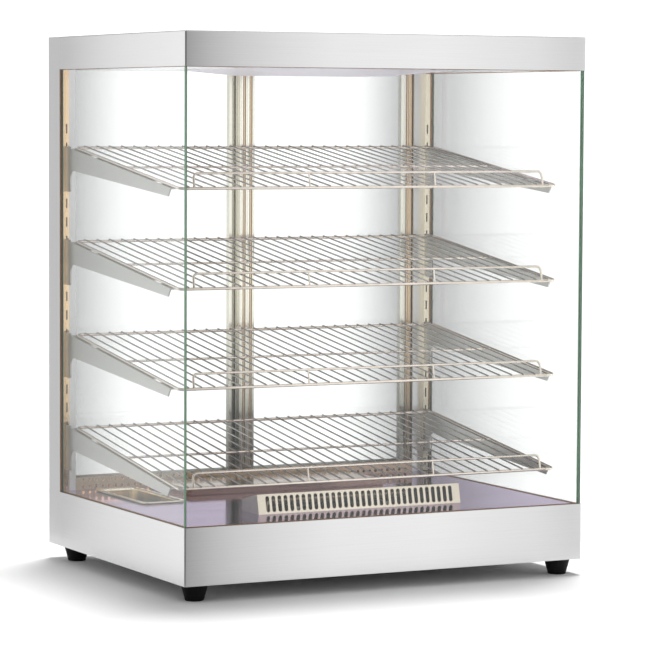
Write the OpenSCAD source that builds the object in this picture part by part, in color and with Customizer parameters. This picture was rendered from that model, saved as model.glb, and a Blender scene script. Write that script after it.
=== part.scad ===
// Countertop hot food display case with four sloping wire shelves and two sliding rear doors.
// Millimetres. +X is the right side, +Y is the back where the doors slide, +Z is up.
// The origin lies under the middle of the case, on the surface that the feet stand on.

/* [Case] */
// Overall width
case_w = 660; // [620:10:760]
// Overall depth
case_d = 512; // [500:4:560]
// Height of the rubber feet
foot_h = 24; // [18:1:40]
// Height of the base skirt
base_h = 84; // [84:1:110]
// Height of glass that shows between base and hood
glass_h = 654; // [640:1:700]
// Height of the hood
hood_h = 50; // [50:1:70]
// Thickness of the stainless sheet
sheet = 1.2; // [1:0.1:1.4]
// Depth of the rear frame that carries the doors
rear_d = 44; // [44:1:50]

/* [Glass] */
// Thickness of every pane
glass_t = 4; // [3:0.5:5]
// Distance from the case's outer face to the glass
glass_inset = 1.5; // [1.5:0.1:3]
// Width of the sealant bead round the deck and the ceiling
bead_w = 2; // [1.5:0.5:3]
// How deep the panes stand in the base and reach into the hood
glass_bite = 5; // [3:1:8]

/* [Shelves] */
// Number of shelf tiers
tiers = 4; // [1:1:4]
// Slope of the shelves, down to the front
shelf_tilt = 7.9; // [0:0.1:10]
// Slots in each upright
slot_count = 20; // [20:1:21]
// Distance between slots
slot_pitch = 28.8; // [28:0.2:29]
// Slots from one tier to the next
tier_slots = 5; // [5:1:5]
// Width of a shelf, over the middles of its side rods
shelf_w = 627; // [600:1:627]
// Depth of a shelf, over the middles of its front and rear rods
shelf_l = 387; // [340:1:390]
// Wires in a shelf
wire_count = 30; // [20:1:40]
// Distance between wires
wire_pitch = 20.66; // [15:0.01:20.7]
// Diameter of the wires
wire_d = 2.4; // [2:0.2:4]
// Diameter of the frame rods
rod_d = 4.4; // [4:0.2:6]
// Height of the front guard above the shelf's front rod
guard_h = 22; // [15:1:40]

/* [Doors] */
// Width of one door panel
door_w = 330; // [325:1:332]
// Thickness of a door panel
door_t = 11; // [10:0.5:11]
// Width of a door's narrow stile
stile_narrow = 26; // [22:1:30]
// Width of a door's wide stile, with the finger pull
stile_wide = 38; // [34:1:42]

/* [Deck] */
// Length of the slotted heater cover
heater_w = 340; // [300:10:360]
// Slots in the heater cover
heater_slots = 32; // [20:1:34]
// Size of the water pan over its rim, across and front to back
pan_size = [72, 190]; // [60:1:80]
// Depth of the water pan below the deck
pan_depth = 44; // [20:1:50]

/* [Hidden] */
$fn = 48;

// Cutting shapes run this far past what they cut
over = 1;
// Gap between fixed pieces that slip into each other
slip = 0.2;
// Gap between a piece that lifts or slides and what it rests on
rest_gap = 0.3;

// Main planes of the case
half_w = case_w / 2;
front_y = -case_d / 2;
back_y = case_d / 2;
frame_y = back_y - rear_d;
deck_z = foot_h + base_h;
hood_z = deck_z + glass_h;
top_z = hood_z + hood_h;

// Glass, and the deck and ceiling edges inside it
pane_x = half_w - glass_inset;
pane_y = front_y + glass_inset;
pane_z0 = deck_z - glass_bite;
pane_z1 = hood_z + glass_bite;
edge_x = pane_x - glass_t - bead_w;
edge_y = pane_y + glass_t + bead_w;

// Rear frame: its front wall stands this far behind the side seams
wall_step = 10;
wall_y = frame_y + wall_step;
jamb_x = half_w - 31;
jamb_lip = 3.4;
sill_h = 19;
sill_floor_z = deck_z - 14;
control_y = wall_y + 4;

// Opening in the ceiling for the lamp cover, and how far the cover hangs down
lamp_size = [360, 240];
lamp_drop = 9;

// Slotted uprights
upright_x0 = half_w - 16;
upright_w = 12;
slot_x = half_w - 12;
slot_size = [2.4, 15];
slot_z0 = deck_z + 15.8;

// Shelf brackets, measured from the bottom of the hook plate
bracket_t = 2;
hook_plate = [17, 70];
arm_top = 66.6;
arm_root = 32.6;
arm_tip = 12;
arm_len = 379;
arm_y = frame_y - hook_plate[0];
ledge_w = 8;
ledge_t = 1.6;
notch_w = 25;
notches = [84, 324];
hook_slots = [0, 2];

// Shelf rods, measured from the rear top end of a bracket's arm
rear_rod = 11;
rod_lift = rod_d / 2 + rest_gap;
wire_lift = rod_lift + rod_d / 2 + wire_d / 2 - 0.7;
corner_r = 8;
guard_w = 580;
guard_posts = [-104.5, 104.5];
guard_d = 3.4;
guard_lean = 19;

// Doors and tracks
door_z0 = sill_floor_z + 2 * sheet + 2;
door_z1 = top_z - 14;
rail_h = 26;
inner_door_y = wall_y + 6;
outer_door_y = wall_y + 20;
left_door_x = -318;
right_door_x = -14;
track_x = half_w - sheet - 0.4;
track_y0 = wall_y + jamb_lip + slip;
track_y1 = back_y - sheet - slip;
rebate = 6;
door_glass_t = 4;
rebate_w = door_glass_t + 0.2;
groove_places = [0.31, 0.75];
finger_pull = [16, 110];

// Heaters
heater_front_y = -166.5;
heater_profile = [[0, 0], [6.5, 29], [57.5, 17], [57.5, 0]];
heater_slot_pitch = 9.93;
heater_slot = [6, 24];
tube_d = 8;
rear_cover_size = [334, 134.8, 10];
rear_cover_y = 77;

// Controls on the recessed rear panel
control_z = 60;
knob_x = -40;
power_x = -130;
light_x = -90;
lamp_x = -175;
gland_x = 230;
rocker_rest = -10;
rocker_size = [16, 21];
rocker_pin_r = 1.5;

// ---------------------------------------------------------------- shared shapes

// A block between two opposite corners
module block(low, high) {
    translate(low) cube(high - low);
}

// Its children, and their mirror image across the case's middle plane
module both_sides() {
    children();
    mirror([1, 0, 0]) children();
}

// Its children on the left side when side is -1, on the right side when it is 1
module on_side(side) {
    if (side < 0) mirror([1, 0, 0]) children();
    else children();
}

// A flat rectangle with round corners, centred
module round_rect(size, r) {
    square([size[0] - 2 * r, size[1]], center = true);
    square([size[0], size[1] - 2 * r], center = true);
    for (x = [-1, 1], y = [-1, 1])
        translate([x * (size[0] / 2 - r), y * (size[1] / 2 - r)]) circle(r);
}

// A slot with round ends, centred, standing along the second axis
module slot_2d(size) {
    square([size[0], size[1] - size[0]], center = true);
    for (y = [-1, 1]) translate([0, y * (size[1] - size[0]) / 2]) circle(size[0] / 2);
}

// A straight rod along X, centred
module rod_x(length, d) {
    rotate([0, 90, 0]) cylinder(h = length, d = d, center = true);
}

// A straight rod from the origin towards -Y
module rod_y(length, d) {
    rotate([90, 0, 0]) cylinder(h = length, d = d);
}

// Points of an arc round a centre, from one angle to another
function arc(centre, r, from, to, steps = 8) =
    [for (i = [0:steps]) centre + r * [cos(from + (to - from) * i / steps),
                                       sin(from + (to - from) * i / steps)]];

// A flat outline given in Y and Z, extruded along X from x0 to x1
module extrude_x(x0, x1) {
    translate([x0, 0, 0]) rotate([90, 0, 90]) linear_extrude(x1 - x0) children();
}

// Heights of the slots in an upright, counted from the deck
function slot_z(i) = slot_z0 + i * slot_pitch;

// Bottom of the hook plate on a tier, where tier 1 is the top one
function bracket_z(tier) = slot_z(1 + tier_slots * (4 - tier)) - 10.6;

// Frame of a shelf: its origin is the rear top end of the arms, and -Y runs down the slope
module on_tier(tier) {
    translate([0, arm_y, bracket_z(tier) + arm_top]) rotate([shelf_tilt, 0, 0]) children();
}

// ---------------------------------------------------------------- base

// Skirt folded round the front and the sides
module base_shell() {
    color("gainsboro") difference() {
        block([-half_w, front_y, foot_h], [half_w, frame_y, deck_z]);
        block([-half_w + sheet, front_y + sheet, foot_h - over],
              [half_w - sheet, frame_y + over, deck_z + over]);
    }
}

// Pan under the works, with turned-up edges, cooling slots and holes for the foot screws
module bottom_panel() {
    edge = half_w - sheet - slip;
    front = front_y + sheet + slip;
    edge_h = 12;
    color("silver") difference() {
        union() {
            block([-edge, front, foot_h], [edge, wall_y - slip, foot_h + edge_h]);
            block([-jamb_x + slip, wall_y - over, foot_h], [jamb_x - slip, control_y, foot_h + sheet]);
        }
        block([-edge + sheet, front + sheet, foot_h + sheet],
              [edge - sheet, wall_y + over, deck_z]);
        foot_places() translate([0, 0, foot_h - over]) cylinder(h = sheet + 2 * over, r = 3.25);
        for (row = [-1, 1], i = [-5:5])
            translate([i * 24, row * 70, foot_h - over])
                linear_extrude(sheet + 2 * over) slot_2d([6, 60]);
    }
}

// Places of the four feet
module foot_places(ends = [-1, 1]) {
    for (x = [-1, 1], y = ends)
        translate([x * (half_w - 27), y < 0 ? front_y + 26 : frame_y - 4, 0]) children();
}

// Tapered rubber foot with a recess for its screw
module foot() {
    difference() {
        cylinder(h = foot_h, r1 = 13.5, r2 = 20);
        translate([0, 0, -over]) cylinder(h = 9 + over, r = 7);
        cylinder(h = foot_h + over, r = 3.25);
    }
}

module front_feet() { color([0.09, 0.09, 0.1]) foot_places([-1]) foot(); }

module rear_feet() { color([0.09, 0.09, 0.1]) foot_places([1]) foot(); }

// Screws up through the feet, each with its nut above the bottom panel
module foot_screws() {
    color("silver") foot_places() {
        translate([0, 0, 5]) cylinder(h = 4, r = 5.5);
        translate([0, 0, 8]) cylinder(h = foot_h + 1, r = 3);
        translate([0, 0, foot_h + sheet]) difference() {
            cylinder(h = 5, r = 5.77, $fn = 6);
            translate([0, 0, -over]) cylinder(h = 5 + 2 * over, r = 2.9);
        }
    }
}

// Outline of the deck and of the ceiling, which reach past the uprights to the rear wall
module floor_outline(grow = 0) {
    translate([-edge_x + grow, edge_y - grow])
        square([2 * (edge_x - grow), frame_y - slip - edge_y + 2 * grow]);
    translate([-upright_x0 + slip + grow, edge_y - grow])
        square([2 * (upright_x0 - slip - grow), wall_y - slip - edge_y + 2 * grow]);
}

// Polished floor of the cabinet, folded down at its edges to make the channel the glass stands in
module deck() {
    channel_z = pane_z0 - 1;
    color([0.78, 0.76, 0.82]) difference() {
        union() {
            translate([0, 0, channel_z - sheet]) linear_extrude(deck_z - channel_z + sheet)
                floor_outline();
            block([-half_w + sheet + slip, front_y + sheet + slip, channel_z - sheet],
                  [half_w - sheet - slip, frame_y - slip, channel_z]);
        }
        block([-edge_x + sheet, edge_y + sheet, channel_z - sheet - over],
              [edge_x - sheet, wall_y + over, deck_z - sheet]);
        translate([pan_place()[0], pan_place()[1], deck_z - 2 * sheet])
            linear_extrude(4 * sheet) round_rect(pan_size - [8, 8], 9);
        block([-rear_cover_size[0] / 2 + 15, rear_cover_y + 12, deck_z - 2 * sheet],
              [rear_cover_size[0] / 2 - 15, frame_y - 12, deck_z + over]);
        block([-heater_w / 2 + 6, heater_front_y + 12, deck_z - 2 * sheet],
              [-heater_w / 2 + 30, heater_front_y + 50, deck_z + over]);
    }
}

// ---------------------------------------------------------------- rear frame

// Full-height post: a channel, open towards the doors, that their outer stiles slide into
module rear_post() {
    color("gainsboro") {
        block([half_w - sheet, frame_y, foot_h], [half_w, back_y, top_z]);
        block([jamb_x, wall_y, foot_h], [half_w - sheet / 2, wall_y + sheet, top_z]);
        block([jamb_x, wall_y, foot_h], [jamb_x + sheet, wall_y + jamb_lip, top_z]);
        block([jamb_x, back_y - sheet, foot_h], [half_w - sheet / 2, back_y, top_z]);
        block([jamb_x, wall_y, foot_h], [half_w - sheet / 2, back_y, foot_h + sheet]);
        block([jamb_x, frame_y, top_z - sheet], [half_w - sheet / 2, back_y, top_z]);
    }
}

module rear_post_left() { on_side(-1) rear_post(); }

module rear_post_right() { on_side(1) rear_post(); }

// Channel over the doors that closes the back of the hood
module rear_header() {
    x = jamb_x - slip;
    color("gainsboro") {
        block([-x, wall_y, hood_z], [x, wall_y + sheet, top_z]);
        block([-x, back_y - sheet, hood_z], [x, back_y, top_z]);
        block([-x, frame_y, top_z - sheet], [x, back_y, top_z]);
    }
}

// Channel under the doors, with two rows of round perforations in its inner wall
module rear_sill() {
    x = jamb_x - slip;
    hole_pitch = 11;
    color([0.6, 0.57, 0.52]) difference() {
        block([-x, wall_y, sill_floor_z], [x, back_y, deck_z + sill_h]);
        block([-x - over, wall_y + sheet, sill_floor_z + sheet],
              [x + over, back_y - sheet, deck_z + sill_h + over]);
        for (i = [-26:26], z = [4.6, 15.4])
            translate([i * hole_pitch, wall_y - over, deck_z + z])
                rotate([-90, 0, 0]) cylinder(h = sheet + 2 * over, r = 2.5);
    }
}

// Track profile: a floor and three guide fins, which stand between and beside the doors
module track_profile(fin) {
    translate([track_y0, 0]) square([track_y1 - track_y0, sheet]);
    translate([track_y0, 0]) square([sheet, fin]);
    translate([(inner_door_y + door_t + outer_door_y) / 2 - 0.5, 0]) square([1, fin]);
    translate([track_y1 - 0.8, 0]) square([0.8, fin]);
}

module track_bottom() {
    color("lightgray") translate([0, 0, sill_floor_z + sheet])
        extrude_x(-track_x, track_x) track_profile(9);
}

module track_top() {
    color("lightgray") translate([0, 0, top_z - sheet - slip]) mirror([0, 0, 1])
        extrude_x(-track_x, track_x) track_profile(22);
}

// ---------------------------------------------------------------- hood

// Top with front and side fascias, folded from one sheet
module hood_shell() {
    color("gainsboro") difference() {
        block([-half_w, front_y, hood_z], [half_w, frame_y, top_z]);
        block([-half_w + sheet, front_y + sheet, hood_z - over],
              [half_w - sheet, frame_y + over, top_z - sheet]);
    }
}

// Polished ceiling with a turned-up rim
module ceiling_panel() {
    color([0.85, 0.82, 0.9]) difference() {
        translate([0, 0, hood_z]) linear_extrude(12) floor_outline();
        block([-edge_x + sheet, edge_y + sheet, hood_z + sheet],
              [edge_x - sheet, wall_y + over, hood_z + 12 + over]);
        block([-lamp_size[0] / 2, -lamp_size[1] / 2, hood_z - over],
              [lamp_size[0] / 2, lamp_size[1] / 2, hood_z + 2 * sheet]);
    }
}

// Shallow dish with sloping sides, upside down under the ceiling
module dish(size, drop) {
    hull() {
        translate([0, 0, hood_z]) linear_extrude(0.01) square(size, center = true);
        translate([0, 0, hood_z - drop]) linear_extrude(0.01) square(size * 0.55, center = true);
    }
}

// Frosted cover over the lamp, dished down below the ceiling
module lamp_cover() {
    wall = 1.5;
    rim = 10;
    color([0.93, 0.9, 0.96]) {
        difference() {
            dish(lamp_size - [2, 2], lamp_drop);
            translate([0, 0, wall]) dish(lamp_size - [2, 2], lamp_drop);
        }
        translate([0, 0, hood_z + sheet + slip]) linear_extrude(wall) difference() {
            square(lamp_size + [2 * rim, 2 * rim], center = true);
            square(lamp_size - [8, 8], center = true);
        }
        translate([0, 0, hood_z]) linear_extrude(sheet + slip + 0.1) difference() {
            square(lamp_size - [2, 2], center = true);
            square(lamp_size - [8, 8], center = true);
        }
    }
}

// Long board with its light emitters, held above the cover
module lamp_board() {
    color("white") translate([0, 0, hood_z + 16]) {
        linear_extrude(2) square([300, 24], center = true);
        for (i = [-7:7]) translate([i * 20, 0, -1]) linear_extrude(1.2) square([5, 5], center = true);
        for (x = [-140, 140]) translate([x, 0, 1.5]) cylinder(h = top_z - sheet - hood_z - 17.5, r = 3);
    }
}

// ---------------------------------------------------------------- glass

// Front pane, which covers the front edges of the side panes
module front_glass() {
    color([0.75, 0.92, 0.85, 0.35])
        block([-pane_x, pane_y, pane_z0], [pane_x, pane_y + glass_t, pane_z1]);
}

module side_glass() {
    color([0.75, 0.92, 0.85, 0.35])
        block([pane_x - glass_t, pane_y + glass_t + 0.3, pane_z0],
              [pane_x, frame_y - 2.2, pane_z1]);
}

module left_glass() { on_side(-1) side_glass(); }

module right_glass() { on_side(1) side_glass(); }

// Sealant beads at deck and ceiling, cushions under the panes and seals at their rear edges
module glass_seals() {
    proud = 0.8;
    inner = pane_x - glass_t;
    color([0.62, 0.45, 0.32]) {
        both_sides() {
            block([edge_x, edge_y, pane_z0], [inner, frame_y - 2.2, deck_z + proud]);
            block([edge_x, edge_y, hood_z - proud], [inner, frame_y - 2.2, pane_z1]);
            block([inner, pane_y + glass_t + 0.3, pane_z0 - 1], [pane_x, frame_y - 2.2, pane_z0]);
            block([inner, frame_y - 2.2, pane_z0 - 1], [pane_x, frame_y, pane_z1]);
        }
        block([-edge_x, pane_y + glass_t, pane_z0], [edge_x, edge_y, deck_z + proud]);
        block([-edge_x, pane_y + glass_t, hood_z - proud], [edge_x, edge_y, pane_z1]);
        block([-pane_x, pane_y, pane_z0 - 1], [pane_x, pane_y + glass_t, pane_z0]);
    }
}

// ---------------------------------------------------------------- uprights and brackets

// Slotted channel in the rear corner of the cabinet
module upright() {
    x1 = upright_x0 + upright_w;
    color([0.8, 0.72, 0.6]) difference() {
        block([upright_x0, frame_y, deck_z], [x1, wall_y, hood_z]);
        block([upright_x0 + sheet, frame_y + sheet, deck_z - over],
              [x1 - sheet, wall_y + over, hood_z + over]);
        for (i = [0:slot_count - 1])
            translate([slot_x, frame_y - over, slot_z(i)]) rotate([-90, 0, 0])
                linear_extrude(sheet + 2 * over) slot_2d(slot_size);
    }
}

module upright_left() { on_side(-1) upright(); }

module upright_right() { on_side(1) upright(); }

// Side view of a bracket, in Y and Z from the bottom rear corner of its hook plate
module bracket_outline() {
    slope = [-cos(shelf_tilt), -sin(shelf_tilt)];
    root = [-hook_plate[0], arm_top];
    tip = root + arm_len * slope;
    low_tip = tip + [8.5, -arm_tip];
    low_root = root + [-11.5, -arm_root - 1.6];
    fillet = 11.5;
    polygon(concat(
        [[0, 0]],
        arc([-hook_plate[0] + 4, 4], 4, 270, 180, 5),
        arc([-hook_plate[0] - fillet, low_root[1] - fillet], fillet, 0, 90),
        [low_tip, tip, root],
        arc([-hook_plate[0] + 5, hook_plate[1] - 5], 5, 180, 90, 5),
        arc([-3, hook_plate[1] - 3], 3, 90, 0, 4)));
}

// Hook-on bracket: side plate, hooks through the upright's slots, and a notched ledge
module bracket(tier, side) {
    x0 = slot_x - bracket_t / 2;
    x1 = slot_x + bracket_t / 2;
    neck = 7;
    color([0.72, 0.72, 0.68]) on_side(side) {
        translate([0, frame_y, bracket_z(tier)]) {
            extrude_x(x0, x1) bracket_outline();
            for (i = hook_slots) translate([0, 0, 10.6 + i * slot_pitch]) {
                block([x0, -over, -slot_size[1] / 2], [x1, sheet + 3.3, -slot_size[1] / 2 + neck]);
                block([x0, sheet + 0.3, -slot_size[1] / 2 - 5],
                      [x1, sheet + 3.3, -slot_size[1] / 2 + neck]);
            }
        }
        on_tier(tier) difference() {
            block([x0 - ledge_w, -arm_len, -ledge_t], [x0 + bracket_t / 2, 0, 0]);
            for (y = notches)
                block([x0 - ledge_w - over, -y - notch_w / 2, -ledge_t - over],
                      [x0, -y + notch_w / 2, over]);
        }
    }
}

module bracket_1_left() { bracket(1, -1); }
module bracket_1_right() { bracket(1, 1); }
module bracket_2_left() { bracket(2, -1); }
module bracket_2_right() { bracket(2, 1); }
module bracket_3_left() { bracket(3, -1); }
module bracket_3_right() { bracket(3, 1); }
module bracket_4_left() { bracket(4, -1); }
module bracket_4_right() { bracket(4, 1); }

// ---------------------------------------------------------------- shelves

// A quarter bend in a rod, lying flat, from a point on +X to a point on +Y
module bend(r, d) {
    rotate_extrude(angle = 90) translate([r, 0]) circle(d = d, $fn = 24);
}

// Closed frame of one rod with round corners, centred, lying flat
module rod_frame(w, l, r, d) {
    for (s = [-1, 1]) {
        translate([0, s * l / 2, 0]) rod_x(w - 2 * r, d);
        translate([s * w / 2, l / 2 - r, 0]) rod_y(l - 2 * r, d);
        translate([s * (w / 2 - r), l / 2 - r, 0]) rotate([0, 0, s > 0 ? 0 : 90]) bend(r, d);
        translate([s * (w / 2 - r), r - l / 2, 0]) rotate([0, 0, s > 0 ? 270 : 180]) bend(r, d);
    }
}

// Wire shelf: a rod frame, a middle rod, and wires welded on top of them
module shelf(tier) {
    color("silver") on_tier(tier) translate([0, -rear_rod - shelf_l / 2, 0]) {
        translate([0, 0, rod_lift]) {
            rod_frame(shelf_w, shelf_l, corner_r, rod_d);
            rod_x(shelf_w, rod_d - 1);
        }
        for (i = [0:wire_count - 1])
            translate([(i - (wire_count - 1) / 2) * wire_pitch, shelf_l / 2 + 2, wire_lift])
                rod_y(shelf_l + 4, wire_d);
    }
}

module shelf_1() { shelf(1); }
module shelf_2() { shelf(2); }
module shelf_3() { shelf(3); }
module shelf_4() { shelf(4); }

// Raised rail along a shelf's front rod, with two posts between its bent ends
module guard(tier) {
    r = 7;
    foot = rod_d / 2 + 0.05;
    color("silver") on_tier(tier)
        translate([0, -rear_rod - shelf_l, rod_lift]) rotate([90 - guard_lean, 0, 0]) {
            translate([0, guard_h, 0]) rod_x(guard_w - 2 * r, guard_d);
            for (s = [-1, 1]) {
                translate([s * guard_w / 2, guard_h - r, 0]) rod_y(guard_h - r - foot, guard_d);
                translate([s * (guard_w / 2 - r), guard_h - r, 0])
                    rotate([0, 0, s > 0 ? 0 : 90]) bend(r, guard_d);
            }
            for (x = guard_posts) translate([x, guard_h, 0]) rod_y(guard_h - foot, guard_d - 1);
        }
}

module guard_1() { guard(1); }
module guard_2() { guard(2); }
module guard_3() { guard(3); }
module guard_4() { guard(4); }

// ---------------------------------------------------------------- deck fittings

// Middle of the water pan
function pan_place() = [-half_w + 89, 107];

// Water pan hung in the deck by its rolled rim
module water_pan() {
    wall = 1;
    tub = pan_size - [12, 12];
    color([0.8, 0.76, 0.66]) translate([pan_place()[0], pan_place()[1], deck_z + rest_gap]) {
        difference() {
            union() {
                linear_extrude(3) round_rect(pan_size, 11);
                translate([0, 0, -pan_depth]) linear_extrude(pan_depth + 1) round_rect(tub, 8);
            }
            translate([0, 0, wall - pan_depth]) linear_extrude(pan_depth + 3)
                round_rect(tub - 2 * [wall, wall], 7);
        }
    }
}

// Leaning slotted face, sloping top and closed ends over the front element
module heater_cover() {
    lean = atan(heater_profile[1][0] / heater_profile[1][1]);
    color([0.9, 0.86, 0.78]) translate([0, heater_front_y, deck_z]) difference() {
        extrude_x(-heater_w / 2, heater_w / 2) polygon(heater_profile);
        extrude_x(-heater_w / 2 + sheet, heater_w / 2 - sheet) polygon([
            [sheet, -over], heater_profile[1] + [sheet * 0.9, -sheet * 1.2],
            heater_profile[2] - [sheet, sheet], [heater_profile[3][0] - sheet, -over]]);
        for (i = [0:heater_slots - 1])
            translate([(i - (heater_slots - 1) / 2) * heater_slot_pitch, heater_profile[1][0] / 2, 14.5])
                rotate([90 - lean, 0, 0]) linear_extrude(6, center = true) slot_2d(heater_slot);
    }
}

// Heating tube bent into a hairpin, with both legs turned down at the left end
module element(length, gap, leg) {
    bend_r = 11;
    for (s = [-1, 1]) translate([0, s * gap / 2, 0]) {
        rod_x(length, tube_d);
        translate([-length / 2, 0, -bend_r]) rotate([90, 0, 0]) rotate([0, 0, 90])
            bend(bend_r, tube_d);
        translate([-length / 2 - bend_r, 0, -bend_r - leg]) cylinder(h = leg, d = tube_d);
    }
    translate([length / 2, 0, 0]) rotate([0, 0, -90]) rotate_extrude(angle = 180)
        translate([gap / 2, 0]) circle(d = tube_d, $fn = 24);
}

module front_element() {
    color([0.85, 0.82, 0.76]) translate([-32, heater_front_y + 31, deck_z + 15])
        rotate([-14, 0, 0]) element(216, 24, 14);
}

module rear_element() {
    color([0.55, 0.5, 0.46]) translate([0, rear_cover_y + 67, deck_z - 8]) element(230, 60, 24);
}

// Low cover over the rear element
module rear_cover() {
    color([0.82, 0.78, 0.74]) translate([0, rear_cover_y, deck_z]) difference() {
        x = rear_cover_size[0] / 2;
        y = rear_cover_size[1];
        z = rear_cover_size[2];
        block([-x, 0, 0], [x, y, z]);
        block([-x + sheet, sheet, -over], [x - sheet, y - sheet, z - sheet]);
    }
}

// Saddles that hold the two elements
module element_clips() {
    color("gray") {
        for (x = [-100, 50]) translate([x, heater_front_y + 31, deck_z])
            block([-4, -17, 0], [4, 17, 6.5]);
        for (x = [-80, 80]) translate([x, rear_cover_y + 67, deck_z - sheet])
            difference() {
                block([-4, -62, -13], [4, 62, 0]);
                block([-4 - over, -61, -11.5], [4 + over, 61, over]);
            }
    }
}

// ---------------------------------------------------------------- doors

// Stile section in X and Y: grooved faces, and a rebate for the glass on its inner edge
module stile_2d(w, glass_side) {
    groove = [4.8, 1.2];
    difference() {
        square([w, door_t]);
        for (x = groove_places, y = [-over, door_t - groove[1]])
            translate([w * x - groove[0] / 2, y]) square([groove[0], groove[1] + over]);
        translate([glass_side > 0 ? w - rebate : -over, (door_t - rebate_w) / 2])
            square([rebate + over, rebate_w]);
    }
}

// Aluminium frame of a door: two stiles, two rails and a finger pull in the wide stile
module door_frame() {
    h = door_z1 - door_z0;
    color([0.85, 0.86, 0.84]) {
        difference() {
            translate([0, 0, door_z0]) {
                linear_extrude(h) stile_2d(stile_narrow, 1);
                translate([door_w - stile_wide, 0, 0]) linear_extrude(h) stile_2d(stile_wide, -1);
            }
            translate([door_w - stile_wide / 2, door_t + over, (door_z0 + door_z1) / 2])
                rotate([90, 0, 0]) linear_extrude(over + 4) slot_2d(finger_pull);
        }
        for (top = [false, true]) {
            z = top ? door_z1 - rail_h : door_z0;
            cut_z = top ? [z - over, z + rebate] : [z + rail_h - rebate, z + rail_h + over];
            difference() {
                block([stile_narrow, 0, z], [door_w - stile_wide, door_t, z + rail_h]);
                block([stile_narrow - over, (door_t - rebate_w) / 2, cut_z[0]],
                      [door_w, (door_t + rebate_w) / 2, cut_z[1]]);
            }
        }
    }
}

module door_glass() {
    hold = rebate - 0.4;
    color([0.8, 0.92, 0.88, 0.3])
        block([stile_narrow - hold, (door_t - door_glass_t) / 2, door_z0 + rail_h - hold],
              [door_w - stile_wide + hold, (door_t + door_glass_t) / 2, door_z1 - rail_h + hold]);
}

// Nylon skates under a door, just clear of the track's floor
module door_glides() {
    color("ivory") for (x = [22, door_w - 52])
        block([x, 2, door_z0 - 2 + rest_gap], [x + 30, door_t - 2, door_z0]);
}

module in_left_door() { translate([left_door_x, outer_door_y, 0]) children(); }

module in_right_door() { translate([right_door_x, inner_door_y, 0]) children(); }

module left_door_frame() { in_left_door() door_frame(); }
module left_door_glass() { in_left_door() door_glass(); }
module left_door_glides() { in_left_door() door_glides(); }
module right_door_frame() { in_right_door() door_frame(); }
module right_door_glass() { in_right_door() door_glass(); }
module right_door_glides() { in_right_door() door_glides(); }

// Brush that closes the gap between the two doors
module pile_strip() {
    x = stile_narrow / 2;
    color([0.15, 0.15, 0.16]) in_right_door()
        block([x - 2.5, door_t, door_z0 + 30], [x + 2.5, door_t + 2.2, door_z1 - 40]);
}

// ---------------------------------------------------------------- controls

// Recessed rear panel with cut-outs for the controls
module control_panel() {
    color("gainsboro") difference() {
        block([-jamb_x + slip, control_y, foot_h + slip],
              [jamb_x - slip, control_y + sheet, sill_floor_z - slip]);
        translate([0, control_y - over, control_z]) rotate([-90, 0, 0]) {
            translate([knob_x, 0, 0]) cylinder(h = sheet + 2 * over, r = 4.5);
            translate([lamp_x, 0, 0]) cylinder(h = sheet + 2 * over, r = 6.2);
            translate([gland_x, 0, 0]) cylinder(h = sheet + 2 * over, r = 9.2);
        }
        for (x = [power_x, light_x])
            block([x - 10.2, control_y - over, control_z - 14.2],
                  [x + 10.2, control_y + sheet + over, control_z + 14.2]);
        screw_places() translate([0, 0, -over]) cylinder(h = sheet + 2 * over, r = 2.1);
    }
}

// Places of the panel screws, with Z along the screw towards the back
module screw_places() {
    for (x = [-1, 1], z = [foot_h + 12, sill_floor_z - 12])
        translate([x * (jamb_x - 14), control_y, z]) rotate([-90, 0, 0]) children();
}

module panel_screws() {
    color("silver") screw_places() {
        translate([0, 0, sheet]) cylinder(h = 2.4, r = 3.6);
        translate([0, 0, -6]) cylinder(h = 8, r = 2);
    }
}

// Thermostat body behind the panel, with its bush and shaft
module thermostat() {
    color([0.3, 0.3, 0.32]) translate([knob_x, control_y, control_z]) {
        block([-18, -30, -17], [18, -0.2, 17]);
        rotate([-90, 0, 0]) translate([0, 0, -over]) cylinder(h = 4, r = 4.2);
        rotate([-90, 0, 0]) translate([0, 0, 2]) cylinder(h = 12, r = 3);
    }
}

// Round knob with finger grooves and a raised pointer, on the thermostat's shaft
module thermostat_knob() {
    color([0.12, 0.12, 0.13]) translate([knob_x, control_y + 4, control_z]) rotate([-90, 0, 0])
        difference() {
            union() {
                cylinder(h = 3, r = 19);
                cylinder(h = 18, r = 16);
                block([-1.5, 5, 17], [1.5, 13, 19.5]);
            }
            translate([0, 0, -over]) cylinder(h = 12 + over, r = 3.08);
            for (i = [0:9]) rotate([0, 0, 36 * i])
                translate([17.4, 0, 4]) cylinder(h = 18, r = 2.2, $fn = 24);
        }
}

// A rocker switch's fixed part: bezel in front of the panel, box behind it, bores for the pins
module bezel(x) {
    translate([x, control_y, control_z]) difference() {
        union() {
            block([-12.5, sheet + 0.1, -16.5], [12.5, sheet + 2.4, 16.5]);
            block([-10, -20, -14], [10, sheet + 0.2, 14]);
        }
        block([-rocker_size[0] / 2 - 0.4, -16, -12.9], [rocker_size[0] / 2 + 0.4, 10, 12.9]);
        rod_x(19.4, 2 * rocker_pin_r + 0.12);
    }
}

module switch_bezels() {
    color([0.08, 0.08, 0.09]) { bezel(power_x); bezel(light_x); }
}

// Rocking button with a hollowed face, on a cross pin
module rocker(x, tint) {
    h = rocker_size[1] / 2;
    color(tint) translate([x, control_y, control_z]) rotate([rocker_rest, 0, 0]) {
        extrude_x(-rocker_size[0] / 2, rocker_size[0] / 2)
            polygon([[-5, -h + 2], [6.2, -h], [4.2, 0], [6.2, h], [-5, h - 2]]);
        rod_x(19, 2 * rocker_pin_r);
    }
}

module power_rocker() { rocker(power_x, [0.1, 0.42, 0.16]); }

module light_rocker() { rocker(light_x, [0.1, 0.1, 0.11]); }

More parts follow.
